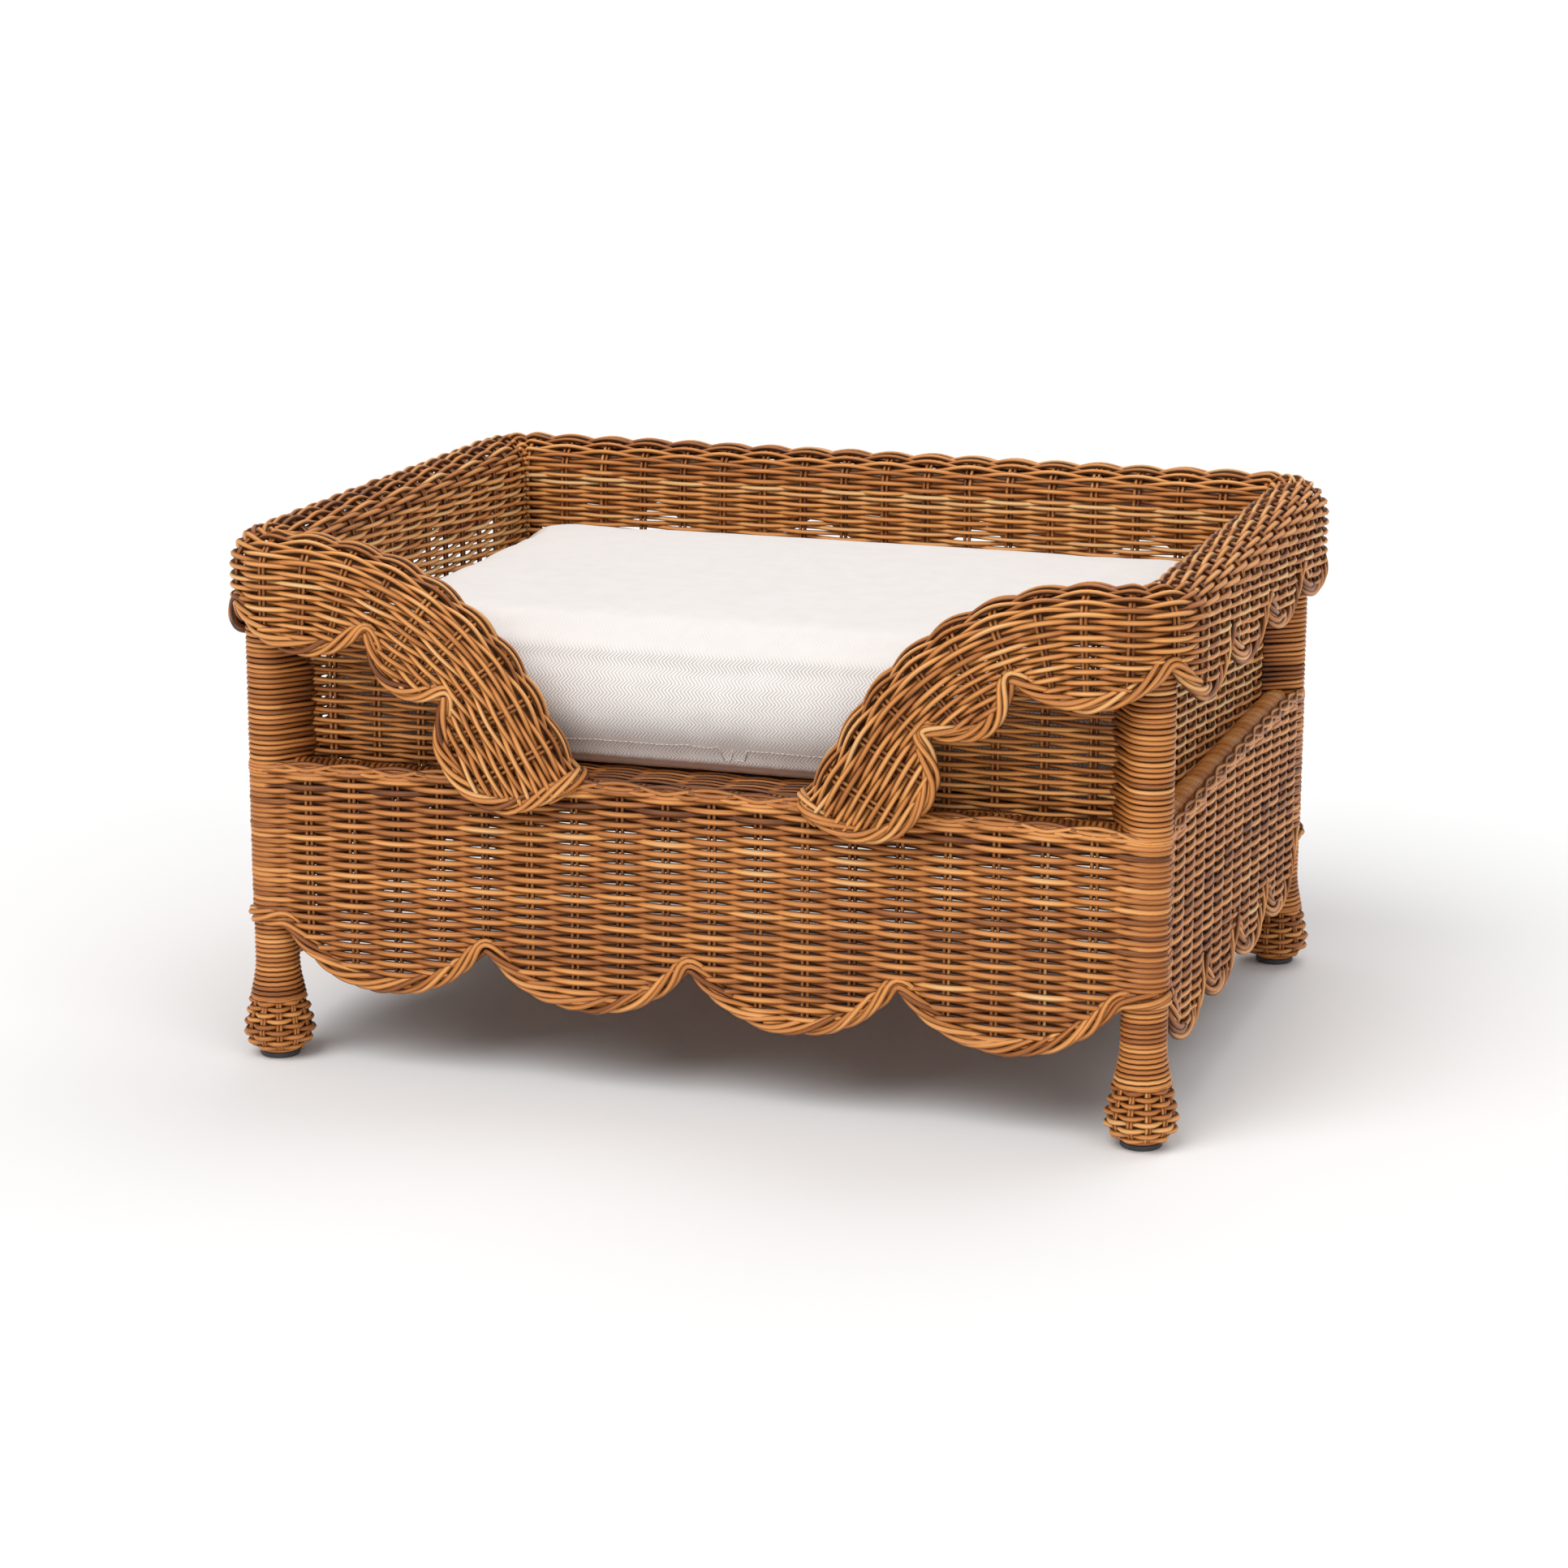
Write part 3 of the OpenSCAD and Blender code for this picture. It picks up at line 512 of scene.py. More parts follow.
def rounded(values, reach):
    """Smooths the sharp turns of sampled values or points."""
    kernel = np.hanning(reach * 2 + 3)[1:-1]
    kernel /= kernel.sum()
    columns = np.atleast_2d(values.T)
    out = [np.convolve(np.pad(c, reach, mode="edge"), kernel, mode="valid") for c in columns]
    return np.array(out).T.reshape(values.shape)


ROPE_RISE = 4.5


def braid_skirt():
    """The rope along the scallops: six outer canes round a core of two."""
    strands = Strands()
    for side, (_, _, half_u, _, corners) in SKIRT_SIDES.items():
        reach = half_u + (CORNER_ARC if corners else 0)
        s = samples(-reach, reach, FINE_SAMPLE)
        points, normals = skirt_at(side, s, 0 * s)
        points[:, 2] = skirt_edge(side, s) + ROPE_RISE + sway(s, 0.6)
        path = rounded(points, 4)
        rope(strands, path, normals, 6, wide=4.9, deep=3.9, twist=92, radius=2.25)
        rope(strands, path, normals, 2, wide=1.6, deep=1.2, twist=60, radius=2.2)
    return strands


# ---------- walls, rolled rim and collar ----------

# Lengths round the rim from the back's middle: a corner's turn, and where each stretch starts.
FULL_ARC = math.pi / 2 * 2 * ROLL_R
WALL_LEN = RIM_H - ROLL_R - WALL_LOW
SIDE_START = INNER_X + FULL_ARC
SIDE_END = SIDE_START + 2 * INNER_Y
FRONT_START = SIDE_END + FULL_ARC
BEND_START = FRONT_START + INNER_X - RIDGE_X
BEND_END = BEND_START + RIDGE_R * RIDGE_TURN
RIDGE_END = BEND_END + RIDGE_LINE
UPPER_STEP = 2 * RIDGE_END / 70
BACK_CORNER = INNER_X + FULL_ARC / 2
FRONT_CORNER = SIDE_END + FULL_ARC / 2
# Lengths up the sheet: where it comes down level with the roll's middle, and with the rim's top.
ROLL_END = WALL_LEN + math.pi * SECTION_R
EDGE_T = ROLL_END - ROLL_R


def ridge_frame(s, level):
    """Origin, outward and up directions along the rim, from the back's middle round to the entry."""
    u = np.abs(s)
    zero = np.zeros_like(u)
    turn_1 = np.clip((u - INNER_X) / FULL_ARC, 0, 1) * math.pi / 2
    turn_2 = np.clip((u - SIDE_END) / FULL_ARC, 0, 1) * math.pi / 2
    turn = turn_1 + turn_2
    x = np.minimum(u, INNER_X) - np.maximum(u - FRONT_START, 0)
    y = INNER_Y - np.clip(u - SIDE_START, 0, 2 * INNER_Y)
    z = np.full_like(u, RIM_H)
    tilt = zero
    if not level:
        tilt = np.clip((u - BEND_START) / RIDGE_R, 0, RIDGE_TURN)
        beyond = np.maximum(u - BEND_END, 0)
        on_bend = u > BEND_START
        x = np.where(on_bend, RIDGE_X - RIDGE_R * np.sin(tilt) - beyond * math.cos(RIDGE_TURN), x)
        z = np.where(on_bend, RIM_H - RIDGE_R * (1 - np.cos(tilt)) - beyond * math.sin(RIDGE_TURN), z)
    mirror = np.where(s < 0, -1.0, 1.0)
    origin = np.stack([mirror * x, y, z], -1)
    outward = np.stack([mirror * np.sin(turn), np.cos(turn), zero], -1)
    outward = np.where(np.abs(outward) < 1e-12, 0, outward)
    up = np.stack([-mirror * np.sin(tilt), zero, np.cos(tilt)], -1)
    return origin, outward, up


def section(t):
    """The woven sheet's middle after a length t up the wall, over the roll and down the collar:
    how far it is outward and up, and the same two parts of the way its face looks."""
    t = np.asarray(t, float)
    angle = np.clip((t - WALL_LEN) / SECTION_R, 0, math.pi)
    out = ROLL_R + SECTION_OUT - SECTION_R * np.cos(angle)
    rise = -ROLL_R + SECTION_R * np.sin(angle) - np.maximum(WALL_LEN - t, 0) \
        - np.maximum(t - ROLL_END, 0)
    return out, rise, -np.cos(angle), np.sin(angle)


def upper_at(s, t, offset, level=False):
    """Points of the walls, rim and collar; level keeps the rim at its full height at the front."""
    origin, outward, up = ridge_frame(s, level)
    out, rise, face_out, face_up = section(t)
    points = origin + (out + face_out * offset)[:, None] * outward \
        + (rise + face_up * offset)[:, None] * up
    normals = face_out[:, None] * outward + face_up[:, None] * up
    return points, normals


def collar_edge(s):
    """How far below the rim the collar's scalloped edge lies at s."""
    u = np.abs(s)
    rise = COLLAR_LOW - COLLAR_CUSP
    cusp_1 = BEND_START + FLAP_CUSPS[0] * RIDGE_R
    cusp_2 = BEND_START + FLAP_CUSPS[1] * RIDGE_R
    back = 2 * BACK_CORNER / BACK_SCALLOPS
    side = (FRONT_CORNER - BACK_CORNER) / SIDE_SCALLOPS
    depth = arc_depth(np.mod(u + BACK_CORNER, back) - back / 2, back / 2, rise, COLLAR_LOW)
    side_depth = arc_depth(np.mod(u - BACK_CORNER, side) - side / 2, side / 2, rise, COLLAR_LOW)
    depth = np.where(u > BACK_CORNER, side_depth, depth)
    spans = [(FRONT_CORNER, cusp_1, COLLAR_LOW, rise), (cusp_1, cusp_2, COLLAR_LOW - 4, rise - 4)]
    for a, b, lowest, height in spans:
        depth = np.where(u > a, arc_depth(u - (a + b) / 2, (b - a) / 2, height, lowest), depth)
    half = (RIDGE_END - cusp_2) / 2
    last = arc_depth(u - cusp_2 - half, half, half - 2, COLLAR_LOW - 2)
    last = np.where(u < cusp_2 + half, np.maximum(last, COLLAR_CUSP), last)
    return np.where(u > cusp_2, last, depth)


# Where each piece of the collar and each wall starts and stops round the rim.
COLLAR_SPANS = {
    "back": (-SIDE_START, SIDE_START),
    "right": (SIDE_START, SIDE_END),
    "left": (-SIDE_END, -SIDE_START),
    "front_right": (SIDE_END, RIDGE_END),
    "front_left": (-RIDGE_END, -SIDE_END),
}
WALL_SPANS = {
    "back": (-BACK_CORNER, BACK_CORNER),
    "right": (BACK_CORNER, FRONT_CORNER),
    "left": (-FRONT_CORNER, -BACK_CORNER),
}


def wave_of(s, row):
    """How far a row's cane is out from the sheet's middle: to one side at a stake, then the other."""
    return WAVE * np.cos(math.pi * s / UPPER_STEP + math.pi * row)


def weave_collar(part):
    strands = Strands()
    start, stop = COLLAR_SPANS[part]
    first = int(WALL_LEN / PITCH)
    last = int((ROLL_END + COLLAR_LOW - ROLL_R) / PITCH)
    s_all = samples(start, stop)
    for row in range(first, last):
        t = row * PITCH
        depth = ROLL_R + t - ROLL_END
        shown = collar_edge(s_all) - 4 > depth
        for a, b in runs_of(shown):
            if b - a < SHORTEST_RUN:
                continue
            s = s_all[a:b + 1]
            wave = wave_of(s, row)
            points, normals = upper_at(s, t + sway(s, 0.45), wave + sway(s, 0.3))
            # Painted shade: darker where the cane passes behind the stakes.
            tone = tone_runs(s, 0.1) - PAINTED_DEPTH_SHADE * (1 - wave / WAVE)
            strands.add(points, normals, WEAVER_R * RNG.uniform(0.94, 1.08), tone)
    lay_stakes(strands, start, stop, WALL_LEN - 4, None)
    return strands


def lay_stakes(strands, start, stop, t0, t1, level=False):
    """Pairs of stakes from t0 to t1, or down to the collar's edge where t1 is None."""
    for s in stake_pairs(math.ceil(start / UPPER_STEP), math.floor(stop / UPPER_STEP), UPPER_STEP):
        end = t1
        if end is None:
            end = EDGE_T + float(collar_edge(np.array([s]))[0]) - 3
        t = samples(t0, end)
        points, normals = upper_at(s + sway(t, 0.3), t, 0 * t, level)
        strands.add(points, normals, STAKE_R, stake_tone())


# Painted light: the walls are painted a little paler than the rest, and their rows by the entry less
# so.
WALL_PAINTED_LIGHT = 0.28
FRONT_WALL_PAINTED_LIGHT = 0.05


def weave_wall(part):
    strands = Strands()
    start, stop = WALL_SPANS[part]
    s = samples(start, stop)
    for row in range(int(WALL_LEN / PITCH)):
        t = np.full_like(s, (row + 0.5) * PITCH)
        points, normals = upper_at(s, t + sway(s, 0.5), wave_of(s, row) + sway(s, 0.3), True)
        # Painted light makes these rows paler.
        strands.add(points, normals, WEAVER_R * RNG.uniform(0.92, 1.06), tone_runs(s, WALL_PAINTED_LIGHT))
    lay_stakes(strands, start, stop, 0, WALL_LEN + 2, True)
    return strands


def front_wall_end(z):
    """How far from the middle the front wall's row at height z begins, under the rolled ridge."""
    r = RIDGE_R - ROLL_R
    bend_z = RIM_H - RIDGE_R
    bend_low = bend_z + r * math.cos(RIDGE_TURN)
    if z > bend_low:
        return RIDGE_X - math.sqrt(max(r * r - (z - bend_z) ** 2, 0))
    return RIDGE_X - r * math.sin(RIDGE_TURN) - (bend_low - z) / math.tan(RIDGE_TURN)


def weave_front_wall(mirror):
    """The low wall between a front post and the entry; mirror is -1 on the left."""
    strands = Strands()
    for row in range(int(WALL_LEN / PITCH)):
        z = WALL_LOW + (row + 0.5) * PITCH
        s = samples(FRONT_CORNER, FRONT_START + INNER_X - front_wall_end(z) + 4)
        t = np.full_like(s, (row + 0.5) * PITCH)
        points, normals = upper_at(mirror * s, t + sway(s, 0.5), wave_of(s, row) + sway(s, 0.3), True)
        radius = WEAVER_R * RNG.uniform(0.92, 1.06)
        # Painted light makes these rows a little paler.
        tone = tone_runs(s, FRONT_WALL_PAINTED_LIGHT)
        strands.add(points, normals, radius, tone)
    heights = np.arange(WALL_LOW + 4, RIM_H - ROLL_R, 4)
    middle_stake = int((FRONT_START + INNER_X) / UPPER_STEP)
    for s in stake_pairs(int(FRONT_CORNER / UPPER_STEP), middle_stake - 1, UPPER_STEP):
        x = INNER_X - (s - FRONT_START)
        tops = [z for z in heights if front_wall_end(z) < x + 2]
        if s < FRONT_CORNER + 6 or len(tops) < 3:
            continue
        t = samples(0, tops[-1] - WALL_LOW, 8)
        points, normals = upper_at(mirror * (s + 0 * t), t, 0 * t, True)
        strands.add(points, normals, STAKE_R, stake_tone(0.4))
    return strands


ROPE_SETBACK = 5
ROPE_LIFT = 2.6


def braid_collar():
    """The rope along the collar's scallops, which ends over the roll on both sides of the entry."""
    strands = Strands()
    end = RIDGE_END - ROPE_SETBACK
    s = samples(-end, end, FINE_SAMPLE)
    t = EDGE_T + collar_edge(s) - 4 + sway(s, 0.6)
    ring_t = samples(ROLL_END, WALL_LEN - 6, FINE_SAMPLE)
    lift = ROPE_LIFT * smooth_step((ROLL_END - ring_t) / 12)
    end_s = np.full_like(ring_t, end)
    s = np.concatenate([-end_s[::-1], s, end_s])
    t = np.concatenate([ring_t[::-1], t, ring_t])
    out = np.concatenate([lift[::-1], np.zeros(len(s) - 2 * len(lift)), lift])
    points, normals = upper_at(s, t, out)
    path, faces = rounded(points, 4), unit(rounded(normals, 4))
    rope(strands, path, faces, 5, wide=4.5, deep=3.8, twist=84, radius=2.25)
    rope(strands, path, faces, 2, wide=1.5, deep=1.2, twist=56, radius=2.2)
    return strands


# ---------- windings ----------

TURN_SAMPLES = 16


def winding(strands, centre, axis, start, length, radius_at, pitch, radius, width=None, lift=0.0):
    """A cane wound round a straight axis, at the radius that radius_at gives for each place on it."""
    axis = np.array(axis, float)
    side = np.array([1.0, 0, 0]) if abs(axis[0]) < 0.5 else np.array([0, 1.0, 0])
    other = np.cross(axis, side)
    turns = length / pitch
    angle = np.arange(int(turns * TURN_SAMPLES) + 1) * 2 * math.pi / TURN_SAMPLES
    place = start + angle / (2 * math.pi) * pitch
    round_dir = np.cos(angle)[:, None] * side + np.sin(angle)[:, None] * other
    points = np.array(centre) + place[:, None] * axis + radius_at(place)[:, None] * round_dir
    points = points + sway(angle * 9, 0.12)[:, None] * axis
    tone = np.clip(0.5 + lift + sway(angle * 6, 0.2), 0, 1)
    strands.add(points, round_dir, radius, tone, width=width)


CORNERS = {"front_left": (-1, -1), "front_right": (1, -1), "back_left": (-1, 1), "back_right": (1, 1)}


def leg_radius(z):
    heights = [FOOT_TOP - 1, FOOT_TOP + 18, FOOT_TOP + 26]
    return np.interp(z, heights, [POST_R + 6.5, POST_R + 2.6, POST_R + 1.7])


def wind_leg(corner):
    strands = Strands()
    sx, sy = CORNERS[corner]
    centre = (sx * POST_X, sy * POST_Y, 0)
    winding(strands, centre, (0, 0, 1), FOOT_TOP - 1, LEG_TOP + 10 - FOOT_TOP, leg_radius, 3.65, 1.9)
    return strands


# How far the ties reach into the walls, and the part of the post that they go round.
TIE_REACH = 29
TIE_ARC = np.radians(np.linspace(-48, 138, 16))


def wind_post(corner):
    """The walls' rows go round the corner post and fan back into the wall on its other side."""
    strands = Strands()
    sx, sy = CORNERS[corner]
    ring = (POST_R + WEAVER_R) * np.stack([np.cos(TIE_ARC), np.sin(TIE_ARC)], -1)
    dx, dy = POST_X - INNER_X - WALL_MID, POST_Y - INNER_Y - WALL_MID
    wrap = "post_wrap_" + corner
    for z in np.arange(low(wrap).z - 3, high(wrap).z, PITCH):
        ends = RNG.uniform(0.9, 1.1, 2) * TIE_REACH
        knots = np.concatenate([[(-dx, -ends[0])], ring, [(-ends[1], -dy)]])
        length = length_along(knots)
        at = samples(0, length[-1], 4)
        plan = rounded(np.stack([np.interp(at, length, knots[:, axis]) for axis in (0, 1)], -1), 1)
        along = unit(np.gradient(plan, axis=0))
        x, y = sx * (POST_X + plan[:, 0]), sy * (POST_Y + plan[:, 1])
        points = np.stack([x, y, z + sway(at, 0.35)], -1)
        normals = np.stack([sx * along[:, 1], -sy * along[:, 0], 0 * at], -1)
        # Painted shade: the ties darken towards their ends, where they recede into the wall.
        shade = 0.5 * np.abs(2 * at / at[-1] - 1) ** 3
        strands.add(points, normals, WEAVER_R * RNG.uniform(0.93, 1.02), tone_runs(at, -0.02) - shade)
    return strands


BELLY_R = 17
FOOT_STAKES = 11
FOOT_PITCH = 4.3
FOOT_TURN_SAMPLES = 66


def foot_radius(z):
    """Outline of the bulb foot's woven face."""
    belly = GLIDE_TOP + BELLY_R
    drop = belly - np.minimum(z, belly)
    below = FOOT_R - BELLY_R + np.sqrt(np.maximum(BELLY_R ** 2 - drop ** 2, 0))
    above = np.interp(z, [belly, FOOT_TOP], [FOOT_R, POST_R + 9])
    return np.where(z < belly, below, above)


def round_post(centre, angle, out, z):
    """Points round a post's axis, and the directions away from it."""
    direction = np.stack([np.cos(angle), np.sin(angle), 0 * angle], -1)
    points = centre + np.reshape(out, (-1, 1)) * direction
    points[:, 2] = z
    return points, direction


def weave_foot(corner):
    """The bulb foot: one cane spirals up in front of and behind its stakes, between two rings."""
    strands = Strands()
    sx, sy = CORNERS[corner]
    centre = np.array([sx * POST_X, sy * POST_Y, 0.0])
    turns = (FOOT_TOP - GLIDE_TOP - 3) / FOOT_PITCH
    angle = np.arange(int(turns * FOOT_TURN_SAMPLES)) * 2 * math.pi / FOOT_TURN_SAMPLES
    z = GLIDE_TOP + 2 + angle / (2 * math.pi) * FOOT_PITCH
    out = foot_radius(z) - 4.4 + 2.3 * np.cos(FOOT_STAKES * angle / 2)
    points, direction = round_post(centre, angle, out, z + sway(angle * 9, 0.2))
    strands.add(points, direction, 2.05, np.clip(0.55 + sway(angle * 5, 0.25), 0, 1))
    for k in range(FOOT_STAKES):
        for gap in (-0.055, 0.055):
            z = samples(GLIDE_TOP + 1, FOOT_TOP + 1, 4)
            turn = np.full_like(z, 2 * math.pi * k / FOOT_STAKES + gap)
            points, direction = round_post(centre, turn, foot_radius(z) - 4.6, z)
            strands.add(points, direction, 1.4, stake_tone(0.4, 0.12))
    rim = np.arange(48) * 2 * math.pi / 48
    base_r = float(foot_radius(np.array([GLIDE_TOP + 1.5]))[0]) - 4
    for z, out, size in ((GLIDE_TOP + 1.8, base_r, 1.8), (FOOT_TOP + 0.5, POST_R + 5.5, 1.9)):
        points, direction = round_post(centre, rim, out, z)
        strands.add(points, direction, size, 0.5, closed=True)
    return strands


def wind_rail(side):
    """Flat peel wound round a seat rail; painted shade on the front and back rails, which lie in the
    dark.
    """
    strands = Strands()
    long_rail = side in ("front", "back")
    lo, hi = low("seat_rail_wrap_" + side), high("seat_rail_wrap_" + side)
    centre = (lo + hi) / 2
    length = (hi.x - lo.x) if long_rail else (hi.y - lo.y)
    margin = 5 if long_rail else 8
    axis = (1, 0, 0) if long_rail else (0, 1, 0)
    # Painted shade on the front and back rails, painted light on the side rails.
    winding(strands, tuple(centre), axis, -length / 2 + margin, length - 2 * margin,
            lambda place: SEAT_RAIL_R - 1.5 + 0 * place, 4.7, 1.5, width=2.3,
            lift=-0.45 if long_rail else 0.2)
    return strands


ENTRY_HALF = 126
MAT_PITCH = 4.1
MAT_CANE_R = 1.15
MAT_STAKE_R = 1.0


def weave_mat():
    """The mat under the cushion: flat canes over and under its stakes, and over the front rail."""
    strands = Strands()
    lo, hi = low("seat_mat"), high("seat_mat")
    mid = (lo.z + hi.z) / 2 - 0.2
    up = (0, 0, 1)
    for row in range(int((hi.y - lo.y - 4) / MAT_PITCH)):
        x = samples(lo.x + 1, hi.x - 1, 6)
        z = mid + 1.35 * np.cos(math.pi * x / STAKE_STEP + math.pi * row)
        y = lo.y + 3 + MAT_PITCH * row + sway(x, 0.25)
        strands.add(np.stack([x, y, z], -1), up, MAT_CANE_R, tone_runs(x, -0.2), width=2.35)
    for row in range(1, 4):
        y = lo.y + 3 - MAT_PITCH * row
        over = SEAT_RAIL_R ** 2 - (y + SEAT_RAIL_Y) ** 2
        height = max(mid, SEAT_RAIL_H + math.sqrt(max(over, 0)) + 1.4)
        x = samples(-ENTRY_HALF, ENTRY_HALF, 6)
        z = height + 1.2 * np.cos(math.pi * x / STAKE_STEP + math.pi * row)
        # Painted shade: these rows, seen in the gap under the cushion, are much darker.
        strands.add(np.stack([x, y + 0 * x, z], -1), up, MAT_CANE_R, tone_runs(x, -0.45), width=2.3)
    for place in stake_pairs(int(lo.x / STAKE_STEP), int(hi.x / STAKE_STEP), STAKE_STEP):
        y = samples(lo.y + 1, hi.y - 1, 20)
        x = place + sway(y, 0.2)
        strands.add(np.stack([x, y, 0 * y + mid], -1), up, MAT_STAKE_R, stake_tone(0.4), width=1.4)
    return strands


woven("seat_mat_weave", weave_mat(), "seat_mat")
for side in SKIRT_SIDES:
    woven("skirt_weave_" + side, weave_skirt(side), "skirt_" + side)
    woven("seat_rail_winding_" + side, wind_rail(side), "seat_rail_wrap_" + side)
woven("skirt_rope", braid_skirt(), "skirt_braid")
for part in COLLAR_SPANS:
    woven("collar_weave_" + part, weave_collar(part), "collar_" + part)
for part in WALL_SPANS:
    woven("wall_weave_" + part, weave_wall(part), "wall_" + part)
for part, mirror in (("front_left", -1), ("front_right", 1)):
    woven("wall_weave_" + part, weave_front_wall(mirror), "wall_" + part)
woven("collar_rope", braid_collar(), "collar_braid")
for corner in CORNERS:
    woven("leg_winding_" + corner, wind_leg(corner), "leg_wrap_" + corner)
    woven("post_winding_" + corner, wind_post(corner), "post_wrap_" + corner)
    woven("foot_basket_" + corner, weave_foot(corner), "foot_weave_" + corner)


# ---------- cushion, in metres ----------

# The herringbone: how wide a band of ribs is, and how many ribs there are in a metre.
CHEVRON = 0.0047
STRAND_RATE = 350.0
FABRIC_STOPS = [(0.05, (0.40, 0.355, 0.325)), (0.42, (0.785, 0.74, 0.715)),
                (0.75, (0.89, 0.86, 0.84))]


def fabric_material():
    """Cotton herringbone: bands of slanting ribs that change direction, much fainter on the top."""
    n = Nodes("cushion_herringbone")
    place = n.add("ShaderNodeSeparateXYZ", {"Vector": object_place(n)})
    facing = n.add("ShaderNodeSeparateXYZ",
                   {"Vector": n.add("ShaderNodeNewGeometry").outputs["Normal"]})
    side_x = n.math("GREATER_THAN", n.math("ABSOLUTE", facing.outputs["X"]), 0.7)
    level = n.math("ABSOLUTE", facing.outputs["Z"])
    flat = n.math("GREATER_THAN", level, 0.7)
    worn = n.add("ShaderNodeMapRange", {"Value": level, "From Min": 0.4, "From Max": 0.75,
                                         "To Min": 1.0, "To Max": 0.2}).outputs["Result"]
    x, y, z = (place.outputs[k] for k in "XYZ")
    along = n.plus(0.0, (x, n.math("SUBTRACT", 1.0, side_x)), (y, side_x))
    across = n.plus(0.0, (z, n.math("SUBTRACT", 1.0, flat)), (y, flat))
    zigzag = n.math("PINGPONG", across, CHEVRON)
    slant = n.math("ADD", along, zigzag)
    ridge = n.math("PINGPONG", n.math("FRACT", n.math("MULTIPLY", slant, STRAND_RATE)), 0.5)
    fine = n.noise(object_place(n), 1400.0, 2)
    soft = n.noise(object_place(n), 60.0, 3)
    blotch = n.noise(object_place(n), 7.0, 2)
    relief = n.math("MULTIPLY", n.above(ridge, 0.25), worn)
    shade = n.plus(0.32, (relief, 1.9), (soft, 0.2), (fine, 0.14))
    colour = n.ramp(shade, FABRIC_STOPS)
    colour = n.mix(n.math("MULTIPLY", blotch, 0.1), colour, (0.80, 0.73, 0.67, 1))
    n.bump(n.plus(relief, (soft, 0.4)), 0.5, 0.0005)
    return n.finish(base_color=colour, roughness=0.92, sheen_weight=0.2, sheen_roughness=0.5)


def evaluated(obj):
    """A new mesh of the object with its modifiers applied."""
    graph = bpy.context.evaluated_depsgraph_get()
    return bpy.data.meshes.new_from_object(obj.evaluated_get(graph))


def coords(mesh):
    co = np.empty(len(mesh.vertices) * 3, np.float32)
    mesh.vertices.foreach_get("co", co)
    return co.reshape(-1, 3).astype(float)


def set_coords(mesh, place):
    mesh.vertices.foreach_set("co", place.astype(np.float32).ravel())
    mesh.update()


PAD_LO, PAD_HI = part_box("cushion_cover")
PAD_MID = (PAD_LO + PAD_HI) / 2
PAD_HALF = (PAD_HI - PAD_LO) / 2
BLANK_SHRINK = Vector((0.001, 0.001, 0.0016))
BLANK_DROP = Vector((0, 0, 0.0012))
BLANK_CORNER, BLANK_TOP_EDGE, BLANK_LOW_EDGE = 0.036, 0.008, 0.003


def pad_blank():
    """A slightly smaller box with rounded upright corners and edges, for the cloth to swell from."""
    bm = bmesh.new()
    bmesh.ops.create_cube(bm, size=2)
    bmesh.ops.scale(bm, vec=PAD_HALF - BLANK_SHRINK, verts=bm.verts)
    upright = [e for e in bm.edges if abs((e.verts[0].co - e.verts[1].co).z) > 0.01]
    bmesh.ops.bevel(bm, geom=upright, offset=BLANK_CORNER, segments=8, profile=0.5, affect="EDGES")
    level = [e for e in bm.edges if abs((e.verts[0].co - e.verts[1].co).z) < 1e-6
             and len(e.link_faces) == 2
             and any(abs(f.normal.z) > 0.9 for f in e.link_faces)
             and any(abs(f.normal.z) < 0.1 for f in e.link_faces)]
    top = [e for e in level if e.verts[0].co.z > 0]
    bottom = [e for e in level if e.verts[0].co.z < 0]
    for edges, size in ((top, BLANK_TOP_EDGE), (bottom, BLANK_LOW_EDGE)):
        bmesh.ops.bevel(bm, geom=edges, offset=size, segments=4, profile=0.5, affect="EDGES")
    bmesh.ops.translate(bm, vec=PAD_MID - BLANK_DROP, verts=bm.verts)
    mesh = bpy.data.meshes.new("pad_blank")
    bm.to_mesh(mesh)
    bm.free()
    return mesh


def relaxed(mesh, place, rounds):
    """Evens out the simulation's small wrinkles: each point moves towards its neighbours."""
    edges = np.empty(len(mesh.edges) * 2, np.int32)
    mesh.edges.foreach_get("vertices", edges)
    a, b = edges.reshape(-1, 2).T
    count = np.bincount(edges, minlength=len(place))[:, None]
    for _ in range(rounds):
        total = np.zeros_like(place)
        np.add.at(total, a, place[b])
        np.add.at(total, b, place[a])
        place = 0.5 * place + 0.5 * total / count
    return place


def swell(mesh, voxel, pressure, cap):
    """A voxel remesh, a short cloth run with pressure, and a limit on how far a point moves.
    Returns the mesh and the places for its points."""
    obj = link_new("pad_work", mesh)
    remesh = obj.modifiers.new("remesh", "REMESH")
    remesh.mode = "VOXEL"
    remesh.voxel_size = voxel
    obj.data = evaluated(obj)
    obj.modifiers.clear()
    start = coords(obj.data)
    cloth = obj.modifiers.new("cloth", "CLOTH")
    cloth.settings.quality = 5
    cloth.settings.use_pressure = True
    cloth.settings.uniform_pressure_force = pressure
    cloth.settings.effector_weights.gravity = 0
    for step in range(1, 21):
        bpy.context.scene.frame_set(step)
    swollen = evaluated(obj)
    moved = coords(swollen) - start
    bpy.context.scene.frame_set(1)
    obj.modifiers.clear()
    far = np.linalg.norm(moved, axis=1, keepdims=True)
    place = start + moved * np.minimum(1, cap / np.maximum(far, 1e-9))
    bpy.data.objects.remove(obj)
    return swollen, relaxed(swollen, place, rounds=4)


CROWN = 0.007
CROWN_POWER = 2.4
SIDE_SWELL = 0.0025


